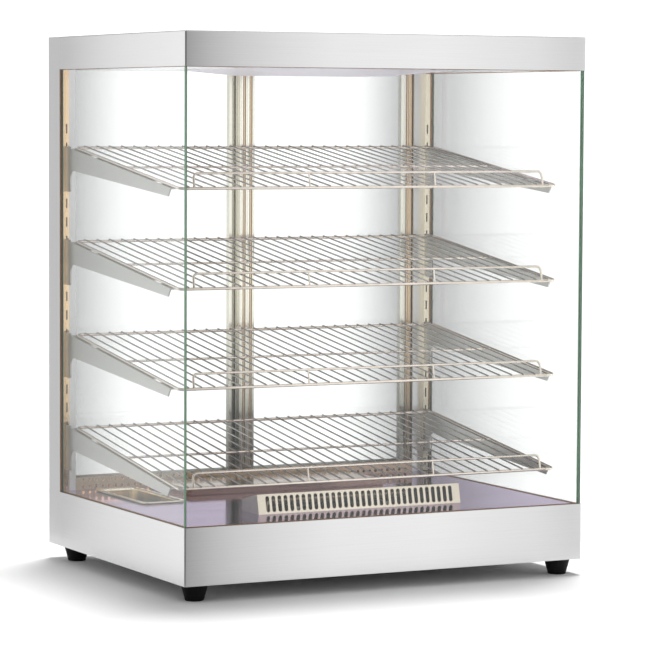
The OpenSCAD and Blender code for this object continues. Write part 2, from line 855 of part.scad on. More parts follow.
module indicator_lamp() {
    color([0.85, 0.3, 0.12]) translate([lamp_x, control_y, control_z]) rotate([-90, 0, 0]) {
        translate([0, 0, -16]) cylinder(h = 18, r = 6);
        translate([0, 0, sheet + 0.1]) cylinder(h = 1.6, r = 8);
        translate([0, 0, 2]) cylinder(h = 4.5, r = 5.2);
    }
}

// Gland for the supply lead: flanges on both sides of the panel and a bore right through
module cord_gland() {
    color([0.1, 0.1, 0.11]) translate([gland_x, control_y, control_z]) rotate([-90, 0, 0])
        difference() {
            union() {
                translate([0, 0, -12]) cylinder(h = 28, r = 9);
                translate([0, 0, -5]) cylinder(h = 4.9, r = 12, $fn = 6);
                translate([0, 0, sheet + 0.1]) cylinder(h = 4, r = 13);
                translate([0, 0, 12]) cylinder(h = 8, r = 11);
            }
            translate([0, 0, -13]) cylinder(h = 34, r = 4.5);
        }
}

// ---------------------------------------------------------------- nodes

base_shell();
bottom_panel();
deck();
front_feet();
rear_feet();
foot_screws();
rear_post_left();
rear_post_right();
rear_header();
rear_sill();
track_top();
track_bottom();
hood_shell();
ceiling_panel();
lamp_cover();
lamp_board();
front_glass();
left_glass();
right_glass();
glass_seals();
upright_left();
upright_right();
bracket_1_left();
bracket_1_right();
bracket_2_left();
bracket_2_right();
bracket_3_left();
bracket_3_right();
bracket_4_left();
bracket_4_right();
shelf_1();
shelf_2();
shelf_3();
shelf_4();
guard_1();
guard_2();
guard_3();
guard_4();
water_pan();
heater_cover();
front_element();
rear_cover();
rear_element();
element_clips();
left_door_frame();
left_door_glass();
left_door_glides();
right_door_frame();
right_door_glass();
right_door_glides();
pile_strip();
control_panel();
panel_screws();
thermostat();
thermostat_knob();
switch_bezels();
power_rocker();
light_rocker();
indicator_lamp();
cord_gland();
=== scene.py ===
"""Hot food display case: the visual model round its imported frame, laid out as an add-on."""

from math import cos, pi, radians, sin

import bmesh
import bpy
from bpy.props import FloatProperty, FloatVectorProperty, IntProperty, PointerProperty
from mathutils import Matrix, Vector


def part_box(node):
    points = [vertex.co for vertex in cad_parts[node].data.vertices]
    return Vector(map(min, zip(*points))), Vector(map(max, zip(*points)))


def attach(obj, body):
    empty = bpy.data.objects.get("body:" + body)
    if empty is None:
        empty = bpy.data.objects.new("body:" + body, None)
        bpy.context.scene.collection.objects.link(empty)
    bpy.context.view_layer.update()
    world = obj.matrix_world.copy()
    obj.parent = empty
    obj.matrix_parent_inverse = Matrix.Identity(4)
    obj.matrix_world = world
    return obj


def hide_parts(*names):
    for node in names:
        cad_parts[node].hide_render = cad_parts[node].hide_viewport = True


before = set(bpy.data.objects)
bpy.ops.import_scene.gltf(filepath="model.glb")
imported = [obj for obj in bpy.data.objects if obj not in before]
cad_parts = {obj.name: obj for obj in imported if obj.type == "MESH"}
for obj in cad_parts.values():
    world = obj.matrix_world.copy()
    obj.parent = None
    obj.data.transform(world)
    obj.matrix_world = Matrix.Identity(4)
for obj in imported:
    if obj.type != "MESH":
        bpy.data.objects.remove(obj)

bl_info = {
    "name": "Hot Food Display Case",
    "version": (1, 0, 0),
    "blender": (4, 5, 0),
    "location": "View3D > Sidebar > Display Case",
    "description": "Builds the metalwork, glass, wire shelves, doors and controls of the case",
    "category": "Object",
}

MM = 0.001
CABINET = "cabinet"
DOORS = ("left_door", "right_door")
TIERS = tuple(f"tier_{i}" for i in range(1, 5))
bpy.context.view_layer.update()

THINNER = 0.5 * MM        # how much less a cross rod's radius is than that of the rod it joins
GUARD_POST = 104.5 * MM   # distance of a guard's two inner posts from its middle
GROOVES = (0.31, 0.75)    # places of a door stile's two grooves, as shares of its width
BOW_STEPS = 6             # strips across each rib and each groove
PULL_SIDES = 24           # sides of the finger pull's outline


# ------------------------------------------------------------------ values and colours

def srgb(code):
    """A hex colour as linear red, green, blue and alpha."""
    parts = (int(code[i:i + 2], 16) / 255 for i in (0, 2, 4))
    linear = (p / 12.92 if p <= 0.04045 else ((p + 0.055) / 1.055) ** 2.4 for p in parts)
    return (*linear, 1.0)


def length(label, text, millimetres):
    """A size in metres, given here in millimetres."""
    return FloatProperty(name=label, description=text, default=millimetres * MM, min=0.0,
                         unit="LENGTH", precision=5)


def colour(label, text, code):
    """A colour, given here as sRGB hex."""
    return FloatVectorProperty(name=label, description=text, default=srgb(code), size=4,
                               min=0.0, max=1.0, subtype="COLOR")


class CaseSizes(bpy.types.PropertyGroup):
    """Sizes of the details that the visual model adds."""

    sheet: length("Sheet", "Thickness of the outer sheet metal", 1.2)
    fold: length("Fold radius", "Outside radius of a fold in the sheet", 2.2)
    cut_edge: length("Cut edge", "Rounding of a deburred sheet edge", 0.35)
    seam: length("Post seam", "Open joint between the side sheets and the rear posts", 0.9)
    arris: length("Glass arris", "Width of the ground edge on each pane", 0.6)
    # Widths of the grey strips of painted shade on the glass, beside the right post and the doors'
    # outer stiles
    pane_shading: length("Pane film", "Width of the grey film beside the right post", 380)
    door_shading: length("Door film", "Width of the grey film beside the doors' outer stiles", 125)
    wire: length("Wire", "Diameter of the shelf wires", 2.4)
    rod: length("Rod", "Diameter of the shelf frame", 4.4)
    guard: length("Guard rod", "Diameter of the guard rail", 3.4)
    wire_pitch: length("Wire pitch", "Distance between the shelf wires", 20.66)
    corner: length("Shelf corner", "Bend radius at the shelf's corners", 8)
    guard_bend: length("Guard bend", "Bend radius at the guard's ends", 7)
    screw: length("Screw head", "Diameter of the door screws' heads", 5)
    pan_draw: length("Pan draw radius", "Radius between the pan's walls and its floor", 9)
    bristle: length("Bristle", "Length of the brush strip's bristles", 2.1)
    tier_slope: FloatProperty(name="Shelf slope", description="Fall of the shelves to the front",
                              default=radians(7.9), subtype="ANGLE")
    guard_lean: FloatProperty(name="Guard lean", description="Lean of the guard to the front",
                              default=radians(19), subtype="ANGLE")
    wires: IntProperty(name="Wires", description="Wires in each shelf", default=30, min=2)
    dial_marks: IntProperty(name="Dial marks", description="Marks round the knob", default=11,
                            min=2)


class CaseColours(bpy.types.PropertyGroup):
    """Colours of the finishes."""

    steel: colour("Brushed steel", "Outer sheet", "e0e0e0")
    polished: colour("Polished steel", "Deck", "9c8da4")
    ceiling: colour("Ceiling steel", "Ceiling", "fbf0fd")
    straw: colour("Straw steel", "Uprights, straw coloured by the heat", "f4d2a8")
    satin: colour("Satin steel", "Shelf brackets", "c2c0bd")
    wire: colour("Wire", "Shelf wires", "b1adaa")
    rod: colour("Rod", "Shelf frames and guard rails", "eee2d6")
    pan: colour("Pan", "Drawn water pan", "f2e8d4")
    heater: colour("Heater cover", "Bright cover over the front element", "ddd2c2")
    sheath: colour("Element", "Sheath of the heating elements", "b9aa98")
    aluminium: colour("Aluminium", "Door frames and tracks", "f6f2e6")
    pale_straw: colour("Pale straw", "Right upright", "fff3da")
    # Tan painted shade in the door stiles' grooves, and dark painted shade in their corners
    painted_shade: colour("Filmed aluminium", "Grooves of the door stiles", "dcc0a0")
    corner_shade: colour("Packed corner", "Corners of the stiles' grooves", "6e675c")
    sill: colour("Sill", "Perforated sill under the doors", "c9b196")
    # The sill's darker tan is painted shade
    browned: colour("Browned steel", "Cover over the rear element", "ad9483")
    # Dark painted shade on the heater cover's inside, seen through its slots
    slot_shade: colour("Scaled steel", "Inside of the heater cover", "4a443e")
    edge: colour("Glass edge", "Green of the panes' narrow faces", "7aa586")
    bead: colour("Bead", "Sealant round the deck", "c08457")
    rubber: colour("Rubber", "Feet", "040404")
    zinc: colour("Zinc", "Screws", "b4b5b5")
    nylon: colour("Black nylon", "Knob, switch bezels and gland", "121213")
    skate: colour("Natural nylon", "Door skates", "dcd8ca")
    rocker: colour("Rocker", "Power rocker", "16682a")
    lens: colour("Lens", "Indicator lamp", "d8591c")
    frosted: colour("Frosted acrylic", "Lamp cover", "efe9f4")
    mask: colour("Solder mask", "Lamp board", "eceae4")
    print_white: colour("Print", "Dial marks and switch marks", "e9e9e6")
    paper: colour("Paper", "Studio sweep", "f4f4f4")


class StudioSettings(bpy.types.PropertyGroup):
    """Camera, lights and backdrop."""

    place: FloatVectorProperty(name="Camera", description="Camera position",
                               default=(-2.127, -4.200, 0.697), subtype="TRANSLATION",
                               unit="LENGTH")
    yaw: FloatProperty(name="Yaw", description="Heading to the right of +Y",
                       default=radians(27.06), subtype="ANGLE")
    pitch: FloatProperty(name="Pitch", description="Tilt down", default=radians(3.90),
                         subtype="ANGLE")
    roll: FloatProperty(name="Roll", description="Turn about the view", default=radians(0.26),
                        subtype="ANGLE")
    lens: FloatProperty(name="Lens", description="Focal length in millimetres on a 36 mm sensor",
                        default=171.6)
    dome: FloatProperty(name="Dome", description="Brightness of the surroundings", default=0.64)
    key: FloatProperty(name="Key", description="Strength of the overhead light", default=2.6)


# ------------------------------------------------------------------ nodes and materials

def add(tree, kind, inputs=(), **settings):
    """Adds a node: settings go on it, and each input is set, or linked where it is a socket."""
    made = tree.nodes.new(kind)
    for key, value in settings.items():
        setattr(made, key, value)
    for key, value in dict(inputs).items():
        if isinstance(value, bpy.types.NodeSocket):
            tree.links.new(value, made.inputs[key])
        else:
            made.inputs[key].default_value = value
    return made


def maths(tree, operation, *values):
    """One step of arithmetic between numbers or sockets."""
    return add(tree, "ShaderNodeMath", dict(enumerate(values)), operation=operation).outputs[0]


def spanned(tree, value, start, end, first, last, **settings):
    """Carries a value from one range to another, and holds it at the ends."""
    return add(tree, "ShaderNodeMapRange", {0: value, 1: start, 2: end, 3: first, 4: last},
               **settings).outputs[0]


def axis_of(tree, vector, axis):
    """One coordinate of a vector."""
    return add(tree, "ShaderNodeSeparateXYZ", {0: vector}).outputs[axis]


def vector(tree, **inputs):
    """A vector of up to three numbers or sockets: x, y and z."""
    return add(tree, "ShaderNodeCombineXYZ",
               {key.upper(): value for key, value in inputs.items()}).outputs[0]


def started(name):
    """A new material with its node tree and Object coordinates."""
    material = bpy.data.materials.new(name)
    material.use_nodes = True
    tree = material.node_tree
    tree.nodes.clear()
    return material, tree, add(tree, "ShaderNodeTexCoord").outputs["Object"]


def shown(tree, shader):
    """Sends a shader to the material's output."""
    add(tree, "ShaderNodeOutputMaterial", {"Surface": shader})


def grain(tree, place, per_metre, detail=2.0):
    """Noise with so many spots to the metre along each axis."""
    stretched = add(tree, "ShaderNodeMapping", {"Vector": place, "Scale": per_metre})
    return add(tree, "ShaderNodeTexNoise", {"Vector": stretched.outputs[0], "Scale": 1.0,
                                            "Detail": detail}).outputs["Fac"]


def surface(name, tint, rough, per_metre, depth, metallic=1.0, spread=0.05, flat_grain=None,
            brushed=0.0, painted_low_shade=None, **sockets):
    """A finish whose shade, roughness and relief follow one grain.

    rough is the lowest and highest roughness, depth the relief in millimetres, and spread how
    far the shade strays. flat_grain is the grain on faces that look up or down. brushed widens
    the sheen across level brush lines. A painted shade, darker low down, is given as (height,
    height, share): below the first height the shade falls to that share of itself.
    """
    material, tree, place = started(name)
    lines = grain(tree, place, per_metre)
    if flat_grain:
        normal = add(tree, "ShaderNodeNewGeometry").outputs["Normal"]
        upward = maths(tree, "ABSOLUTE", axis_of(tree, normal, "Z"))
        level = maths(tree, "GREATER_THAN", upward, 0.7)
        lines = add(tree, "ShaderNodeMix", {0: level, 2: lines, 3: grain(tree, place, flat_grain)}
                    ).outputs[0]
    shade = spanned(tree, lines, 0.25, 0.75, 1 - spread, 1.0)
    # Painted shade: the colour darkens towards the bottom, below a given height
    if painted_low_shade:
        low, high, share = painted_low_shade
        fall = spanned(tree, axis_of(tree, place, "Z"), low, high, share, 1.0,
                       interpolation_type="SMOOTHSTEP")
        shade = maths(tree, "MULTIPLY", shade, fall)
    painted = add(tree, "ShaderNodeVectorMath", {0: tuple(tint[:3]), 1: shade},
                  operation="MULTIPLY")
    if brushed:
        across = vector(tree, y=0.001, z=1.0)
        sockets.update({"Anisotropic": brushed, "Tangent": across})
    roughness = spanned(tree, lines, 0.25, 0.75, *rough)
    relief = add(tree, "ShaderNodeBump", {"Height": lines, "Distance": depth * MM, "Strength": 1.0})
    shader = add(tree, "ShaderNodeBsdfPrincipled",
                 {"Base Color": painted.outputs[0], "Roughness": roughness,
                  "Normal": relief.outputs[0], "Metallic": metallic, **sockets})
    shown(tree, shader.outputs[0])
    return material


def brushed_steel(tints):
    """Type 304 sheet with a belt-brushed finish: fine lines along the sheet, a soft wide sheen.

    Real belt lines are 0.1 mm apart; these are drawn ten times as coarse, to show.
    """
    return surface("brushed_304_stainless", tints.steel, (0.28, 0.38), (9, 9, 1100), 0.012,
                   spread=0.055, flat_grain=(9, 900, 9), brushed=0.8)


def polished_steel(tints):
    """Bright annealed sheet: a mirror with a violet cast and the faint smears of wiping."""
    return surface("bright_annealed_stainless", tints.polished, (0.05, 0.16), (7, 18, 18), 0.004,
                   spread=0.06, **{"Specular Tint": (0.80, 0.72, 0.86, 1)})


def ceiling_steel(tints):
    """The same bright sheet over the shelves, clean and pale, with a violet cast."""
    return surface("bright_annealed_ceiling", tints.ceiling, (0.05, 0.14), (7, 18, 18), 0.004,
                   spread=0.05)


def browned_steel(tints):
    """Bright sheet over the rear element, browned by its heat and clouded by spills."""
    return surface("heat_browned_stainless", tints.browned, (0.10, 0.24), (14, 30, 30), 0.006,
                   spread=0.18)


def slot_shade_steel(tints):
    """Inside of the heater cover: dark and dull, painted shade that shows through the slots."""
    return surface("painted_slot_shade_steel", tints.slot_shade, (0.45, 0.65), (120, 120, 120), 0.04,
                   spread=0.3)


def straw_steel(tints):
    """Bright channel that the heat has coloured to pale straw, nearly a mirror, darker low down as
    painted shade.
    """
    return surface("straw_tinted_stainless", tints.straw, (0.06, 0.15), (40, 40, 6), 0.03,
                   spread=0.10, painted_low_shade=(0.12, 0.42, 0.55))


def pale_straw_steel(tints):
    """The right upright: the same sheet, painted a paler straw than the left, darker low down as
    painted shade.
    """
    return surface("pale_straw_stainless", tints.pale_straw, (0.06, 0.15), (40, 40, 6), 0.03,
                   spread=0.08, painted_low_shade=(0.12, 0.36, 0.35))


def painted_groove_shade(tints):
    """Aluminium painted a darker tan in the stiles' grooves, as painted shade."""
    return surface("painted_groove_shade_aluminium", tints.painted_shade, (0.16, 0.30), (300, 300, 6), 0.01,
                   spread=0.14, painted_low_shade=(0.14, 0.40, 0.3))


def painted_corner_shade(tints):
    """The corners of a stile's grooves, painted dark as shade."""
    return surface("painted_groove_corner_shade", tints.corner_shade, (0.35, 0.5), (300, 300, 20), 0.02,
                   spread=0.2, painted_low_shade=(0.14, 0.40, 0.5))


def satin_steel(tints):
    """Sheet tumbled after stamping: an even, soft grey with a short irregular grain."""
    return surface("tumbled_stainless", tints.satin, (0.27, 0.38), (220, 220, 220), 0.01,
                   spread=0.10)


def bright_wire(tints):
    """Electropolished wire: it draws the room out into bright and dark lines."""
    return surface("electropolished_wire", tints.wire, (0.05, 0.14), (300, 60, 300), 0.015,
                   spread=0.12)


def bright_rod(tints):
    """Electropolished rod of the shelf frames: bright, and a little warm from the heat."""
    return surface("electropolished_rod", tints.rod, (0.03, 0.09), (60, 60, 60), 0.01,
                   spread=0.12)


def drawn_steel(tints):
    """Deep-drawn bright steel: drawing marks run down the walls."""
    return surface("deep_drawn_stainless", tints.pan, (0.03, 0.12), (70, 70, 8), 0.6,
                   spread=0.10)


def bright_cover(tints):
    """Bright sheet, warm from the heater under it, with long soft ripples from punching."""
    return surface("bright_heater_cover", tints.heater, (0.12, 0.22), (24, 24, 60), 0.006,
                   spread=0.08)


def sheathed_element(tints):
    """Oxidised sheath of a tubular heater: matt, patchy, straw to grey."""
    return surface("oxidised_heater_sheath", tints.sheath, (0.35, 0.55), (50, 90, 90), 0.03,
                   spread=0.25)


def anodised_aluminium(tints):
    """Clear anodised extrusion: satin, with die lines along its length, darker near the deck as
    painted shade.
    """
    return surface("clear_anodised_aluminium", tints.aluminium, (0.12, 0.22), (700, 700, 5), 0.008,
                   spread=0.10, painted_low_shade=(0.14, 0.40, 0.24))


def sill_shade_steel(tints):
    """Brushed sheet in the shade of the doors, painted a darker tan as that shade."""
    return surface("painted_shade_sill_stainless", tints.sill, (0.30, 0.48), (9, 500, 500), 0.012,
                   spread=0.12)


def zinc_plate(tints):
    """Zinc-plated fasteners: bluish grey, with a slight frosting."""
    return surface("zinc_plated_steel", tints.zinc, (0.25, 0.40), (900, 900, 900), 0.008,
                   spread=0.12)


def moulded_rubber(tints):
    """Black natural rubber: matt, with a fine spark-eroded mould texture."""
    return surface("moulded_rubber", tints.rubber, (0.55, 0.75), (900, 900, 900), 0.05,
                   metallic=0.0, spread=0.3, IOR=1.52, **{"Specular IOR Level": 0.2})


def black_nylon(tints):
    """Glass-filled nylon, moulded: nearly black with a fine grain and a low sheen."""
    return surface("moulded_black_nylon", tints.nylon, (0.38, 0.52), (1100, 1100, 1100), 0.03,
                   metallic=0.0, spread=0.2, IOR=1.53)


def natural_nylon(tints):
    """Unfilled nylon: ivory, waxy, slightly see-through at its edges."""
    return surface("natural_nylon", tints.skate, (0.35, 0.45), (500, 500, 500), 0.02,
                   metallic=0.0, spread=0.06, IOR=1.53, **{"Subsurface Weight": 0.15,
                                                           "Subsurface Scale": 0.002})


def rocker_plastic(tints):
    """Glossy green polycarbonate rocker, lit through by a lamp that is off."""
    return surface("green_polycarbonate", tints.rocker, (0.12, 0.20), (600, 600, 600), 0.006,
                   metallic=0.0, spread=0.12, IOR=1.58)


def amber_lens(tints):
    """Moulded amber lens: deep orange with fine ribs inside."""
    return surface("amber_polycarbonate", tints.lens, (0.10, 0.18), (1400, 200, 200), 0.03,
                   metallic=0.0, spread=0.3, IOR=1.58)


def frosted_acrylic(tints):
    """Opal acrylic sheet: an even, soft white with a faint violet cast."""
    return surface("opal_acrylic", tints.frosted, (0.32, 0.42), (800, 800, 800), 0.01,
                   metallic=0.0, spread=0.04, IOR=1.49)


def silicone_bead(tints):
    """Heat-proof silicone, tooled by hand: amber, rubbery, with a wavering edge."""
    return surface("amber_silicone", tints.bead, (0.28, 0.45), (60, 60, 60), 0.08,
                   metallic=0.0, spread=0.25, IOR=1.41)


def printed_ink(tints):
    """Screen-printed epoxy ink: matt white, a little uneven."""
    return surface("screen_printed_ink", tints.print_white, (0.5, 0.6), (900, 900, 900), 0.01,
                   metallic=0.0, spread=0.08, IOR=1.5)


def brush_pile(tints):
    """Polypropylene pile: black, dull, a little lighter at the tips."""
    return surface("polypropylene_pile", tints.nylon, (0.6, 0.8), (900, 900, 300), 0.05,
                   metallic=0.0, spread=0.4, IOR=1.49)


def lamp_board_mask(tints):
    """White solder mask, with a yellow phosphor square in each emitter every 20 mm."""
    material, tree, place = started("white_solder_mask")
    pitch, half = 20 * MM, 2.2 * MM
    repeated = maths(tree, "WRAP", axis_of(tree, place, 0), pitch / 2, -pitch / 2)
    near_x = maths(tree, "COMPARE", repeated, 0.0, half)
    near_y = maths(tree, "COMPARE", axis_of(tree, place, 1), 0.0, half)
    spot = maths(tree, "MULTIPLY", near_x, near_y)
    tint = add(tree, "ShaderNodeMix", {0: spot, 6: tints.mask, 7: srgb("e8c24a")},
               data_type="RGBA")
    sheen = spanned(tree, grain(tree, place, (400, 400, 400)), 0, 1, 0.3, 0.5)
    shader = add(tree, "ShaderNodeBsdfPrincipled",
                 {"Base Color": tint.outputs[2], "Roughness": sheen})
    shown(tree, shader.outputs[0])
    return material


def clear_float_glass(name, shading=None):
    """Tempered float glass: clear, a trace of green, and a mirror at a glancing look.

    A grey strip of painted shade may lie beside a post: the last argument gives its axis, the place
    where it is densest and the place where it ends.
    """
    material, tree, place = started(name)
    clear, grey = (0.992, 0.997, 0.994, 1), (0.60, 0.60, 0.605, 1)
    tint = {"Color": clear}
    # Painted shade: grey mixed into the see-through colour, densest beside a post and gone further
    # off
    if shading:
        axis, dense, gone = shading
        fade = spanned(tree, axis_of(tree, place, axis), dense, gone, 1.0, 0.0)
        mottled = spanned(tree, grain(tree, place, (9, 9, 3)), 0.2, 0.8, 0.9, 1.0)
        amount = maths(tree, "MULTIPLY", maths(tree, "POWER", fade, 1.45), mottled)
        tint = {"Color": add(tree, "ShaderNodeMix", {0: amount, 6: clear, 7: grey},
                             data_type="RGBA").outputs[2]}
    through = add(tree, "ShaderNodeBsdfTransparent", tint)
    polish = spanned(tree, grain(tree, place, (4, 4, 4)), 0, 1, 0.0, 0.03)
    mirror = add(tree, "ShaderNodeBsdfAnisotropic",
                 {"Color": (0.9, 0.93, 0.92, 1), "Roughness": polish})
    # Bare glass mirrors 4% of what it faces, and more by the fifth power towards a glance
    glance = add(tree, "ShaderNodeLayerWeight", {"Blend": 0.5}).outputs["Facing"]
    share = spanned(tree, maths(tree, "POWER", glance, 5.0), 0, 1, 0.04, 1.0)
    mixed = add(tree, "ShaderNodeMixShader",
                {0: share, 1: through.outputs[0], 2: mirror.outputs[0]})
    shown(tree, mixed.outputs[0])
    return material


def glass_edge(tints):
    """Ground and polished edge of float glass: its iron shows as a clear green."""
    material, tree, place = started("polished_glass_edge")
    streaks = grain(tree, place, (60, 60, 12))
    deep = tuple(c * 0.45 for c in tints.edge[:3]) + (1,)
    tint = add(tree, "ShaderNodeMix", {0: streaks, 6: deep, 7: tints.edge}, data_type="RGBA")
    sheen = spanned(tree, streaks, 0, 1, 0.05, 0.2)
    shader = add(tree, "ShaderNodeBsdfPrincipled",
                 {"Base Color": tint.outputs[2], "Roughness": sheen, "IOR": 1.5})
    shown(tree, shader.outputs[0])
    return material


MATERIALS = {}


def made_of(recipe):
    """The material of a recipe, made once."""
    if recipe.__name__ not in MATERIALS:
        MATERIALS[recipe.__name__] = recipe(bpy.context.scene.case_colours)
    return MATERIALS[recipe.__name__]


# ------------------------------------------------------------------ meshes

def shapes_of(name):
    """A new object with an empty mesh, linked to the scene."""
    made = bpy.data.objects.new(name, bpy.data.meshes.new(name))
    bpy.context.scene.collection.objects.link(made)
    return made


def object_of(name, bm, *materials):
    """A new object with a bmesh's faces and these materials."""
    made = shapes_of(name)
    for material in materials:
        made.data.materials.append(material)
    bm.to_mesh(made.data)
    bm.free()
    return made


def settled(made):
    """Turns an object's modifiers into its own plain mesh."""
    depsgraph = bpy.context.evaluated_depsgraph_get()
    mesh = bpy.data.meshes.new_from_object(made.evaluated_get(depsgraph),
                                           preserve_all_data_layers=True, depsgraph=depsgraph)
    made.modifiers.clear()
    made.data = mesh
    return made


def creased(made, smooth):
    """Keeps edges sharp past an angle, leaves flat faces flat, and settles the mesh."""
    made.data.set_sharp_from_angle(angle=radians(smooth))
    made.modifiers.new("flat faces", "WEIGHTED_NORMAL").keep_sharp = True
    return settled(made)


def placed(made, body, slot, *stands_for):
    """Joins a finished piece to its body, and hides what it stands for. The slot is not used."""
    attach(made, body)
    if stands_for:
        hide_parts(*stands_for)
    return made


def piece(name, bm, materials, body, slot, *stands_for, smooth=50.0):
    """Makes a piece of a bmesh, facing out and smooth up to an angle."""
    bmesh.ops.recalc_face_normals(bm, faces=bm.faces[:])
    made = object_of(name, bm, *materials)
    made.data.shade_smooth()
    return placed(creased(made, smooth), body, slot, *stands_for)


def softened(node, width, recipe, body, slot, segments=2, inside=None):
    """A copy of a CAD node with its edges rounded by a width in millimetres, in its place.

    With inside, the faces that look towards the node's middle get that recipe.
    """
    bm = bmesh.new()
    bm.from_mesh(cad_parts[node].data)
    bmesh.ops.remove_doubles(bm, verts=bm.verts[:], dist=0.001 * MM)
    bmesh.ops.dissolve_limit(bm, angle_limit=radians(0.5), verts=bm.verts[:], edges=bm.edges[:])
    rounded = object_of(node + "_finished", bm, made_of(recipe))
    rounded.data.shade_smooth()
    bevel = rounded.modifiers.new("rounding", "BEVEL")
    bevel.width, bevel.segments = width * MM, segments
    bevel.limit_method, bevel.angle_limit = "ANGLE", radians(38)
    bevel.offset_type = "OFFSET"
    bevel.use_clamp_overlap = True
    settled(rounded)
    if inside:
        rounded.data.materials.append(made_of(inside))
        middle = sum(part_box(node), Vector()) / 2
        for face in rounded.data.polygons:
            face.material_index = int((face.center - middle).dot(face.normal) < 0)
    return placed(creased(rounded, 50), body, slot, node)


def carried(node, recipe):
    """Gives a CAD node that stays its finish."""
    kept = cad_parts[node]
    if not kept.data.materials:
        kept.data.materials.append(None)
    for slot in kept.material_slots:
        slot.material = made_of(recipe)


def boxed(bm, low, high):
    """Adds a sharp box between two corners, and returns its corners."""
    made = bmesh.ops.create_cube(bm, size=1.0)["verts"]
    for v in made:
        v.co = Vector((low[i] + (v.co[i] + 0.5) * (high[i] - low[i]) for i in range(3)))
    return made


def block(bm, low, high, rounding, segments=2):
    """Adds a box between two corners with all its edges rounded, and returns its faces."""
    before = set(bm.faces)
    edges = list({e for v in boxed(bm, low, high) for e in v.link_edges})
    bmesh.ops.bevel(bm, geom=edges, offset=rounding, segments=segments, profile=0.5,
                    affect="EDGES", clamp_overlap=True)
    return [f for f in bm.faces if f not in before]


def wrapped(name, low, high, fold, sheet, roof, recipe, body, slot, *stands_for):
    """Sheet metal wrapped round the front and both sides, and over the top with roof."""
    bm = bmesh.new()
    boxed(bm, low, high)
    open_faces = [f for f in bm.faces if f.normal.y > 0.5 or f.normal.z < -0.5
                  or (f.normal.z > 0.5 and not roof)]
    bmesh.ops.delete(bm, geom=open_faces, context="FACES_ONLY")
    folds = [e for e in bm.edges if len(e.link_faces) == 2]
    bmesh.ops.bevel(bm, geom=folds, offset=fold, segments=5, profile=0.5, affect="EDGES")
    bmesh.ops.recalc_face_normals(bm, faces=bm.faces[:])
    made = object_of(name, bm, made_of(recipe))
    made.data.shade_smooth()
    wall = made.modifiers.new("sheet", "SOLIDIFY")
    wall.thickness, wall.offset = sheet, -1.0
    return placed(creased(settled(made), 50), body, slot, *stands_for)


def tube(bm, path, radius, sides=14, closed=False):
    """Sweeps a round section along a path; open ends are rounded off inside its length."""
    path = [Vector(p) for p in path]
    rings = []
    if closed:
        count = len(path)
        for i, point in enumerate(path):
            rings.append((point, (path[(i + 1) % count] - path[i - 1]).normalized(), radius))
    else:
        for i, point in enumerate(path):
            ahead = path[min(i + 1, len(path) - 1)] - path[max(i - 1, 0)]
            rings.append((point, ahead.normalized(), radius))
        for end, way in ((0, 1), (-1, -1)):
            point, along, _ = rings[end]
            cap = [(point + along * way * radius * (1 - sin(radians(a))), along,
                    radius * cos(radians(a))) for a in (0, 30, 55, 78)]
            rings = cap[::-1] + rings[1:] if end == 0 else rings[:-1] + cap
    side = rings[0][1].orthogonal().normalized()
    loops, last = [], rings[0][1]
    for point, along, size in rings:
        side = last.rotation_difference(along) @ side
        side = (side - along * side.dot(along)).normalized()
        other, last = along.cross(side), along
        loops.append([bm.verts.new(point + (side * cos(2 * pi * k / sides)
                                            + other * sin(2 * pi * k / sides)) * size)
                      for k in range(sides)])
    pairs = list(zip(loops, loops[1:])) + ([(loops[-1], loops[0])] if closed else [])
    for a, b in pairs:
        for k in range(sides):
            bm.faces.new((a[k], a[(k + 1) % sides], b[(k + 1) % sides], b[k]))
    if not closed:
        bm.faces.new(loops[0][::-1])
        bm.faces.new(loops[-1])


def arc(centre, radius, start, end, steps=6):
    """Points of an arc in a plane, from one angle to another, in degrees."""
    angles = [radians(start + (end - start) * i / steps) for i in range(steps + 1)]
    return [(centre[0] + radius * cos(a), centre[1] + radius * sin(a)) for a in angles]


def round_loop(width, depth, radius):
    """Corner points of a centred rectangle with round corners."""
    points = []
    for sx, sy, start in ((1, 1, 0), (-1, 1, 90), (-1, -1, 180), (1, -1, 270)):
        points += arc((sx * (width / 2 - radius), sy * (depth / 2 - radius)), radius,
                      start, start + 90)
    return points


# ------------------------------------------------------------------ geometry nodes

def grown(name, sizes, build, recipe, points):
    """Runs a Geometry Nodes tree on some points and keeps what it makes as a plain mesh.

    sizes are the tree's named inputs. build adds its nodes and returns the geometry.
    """
    kinds = {int: "NodeSocketInt", float: "NodeSocketFloat", Vector: "NodeSocketVector"}
    tree = bpy.data.node_groups.new(name, "GeometryNodeTree")
    face = tree.interface
    face.new_socket("Points", in_out="INPUT", socket_type="NodeSocketGeometry")
    for label, value in sizes.items():
        face.new_socket(label, in_out="INPUT", socket_type=kinds[type(value)])
    face.new_socket("Finish", in_out="INPUT", socket_type="NodeSocketMaterial")
    face.new_socket("Result", in_out="OUTPUT", socket_type="NodeSocketGeometry")
    given = add(tree, "NodeGroupInput").outputs
    real = add(tree, "GeometryNodeRealizeInstances", {0: build(tree, given)})
    painted = add(tree, "GeometryNodeSetMaterial",
                  {"Geometry": real.outputs[0], "Material": given["Finish"]})
    add(tree, "NodeGroupOutput", {0: painted.outputs[0]})
    host = shapes_of(name)
    host.data.from_pydata([tuple(p) for p in points], [], [])
    modifier = host.modifiers.new(name, "NODES")
    modifier.node_group = tree
    values = dict(sizes, Finish=made_of(recipe))
    for item in face.items_tree:
        if item.item_type == "SOCKET" and item.in_out == "INPUT" and item.name in values:
            value = values[item.name]
            modifier[item.identifier] = tuple(value) if isinstance(value, Vector) else value
    return settled(host)


def moved(tree, geometry, **transform):
    """Geometry with a Translation, Rotation or Scale."""
    return add(tree, "GeometryNodeTransform", {0: geometry, **transform}).outputs[0]


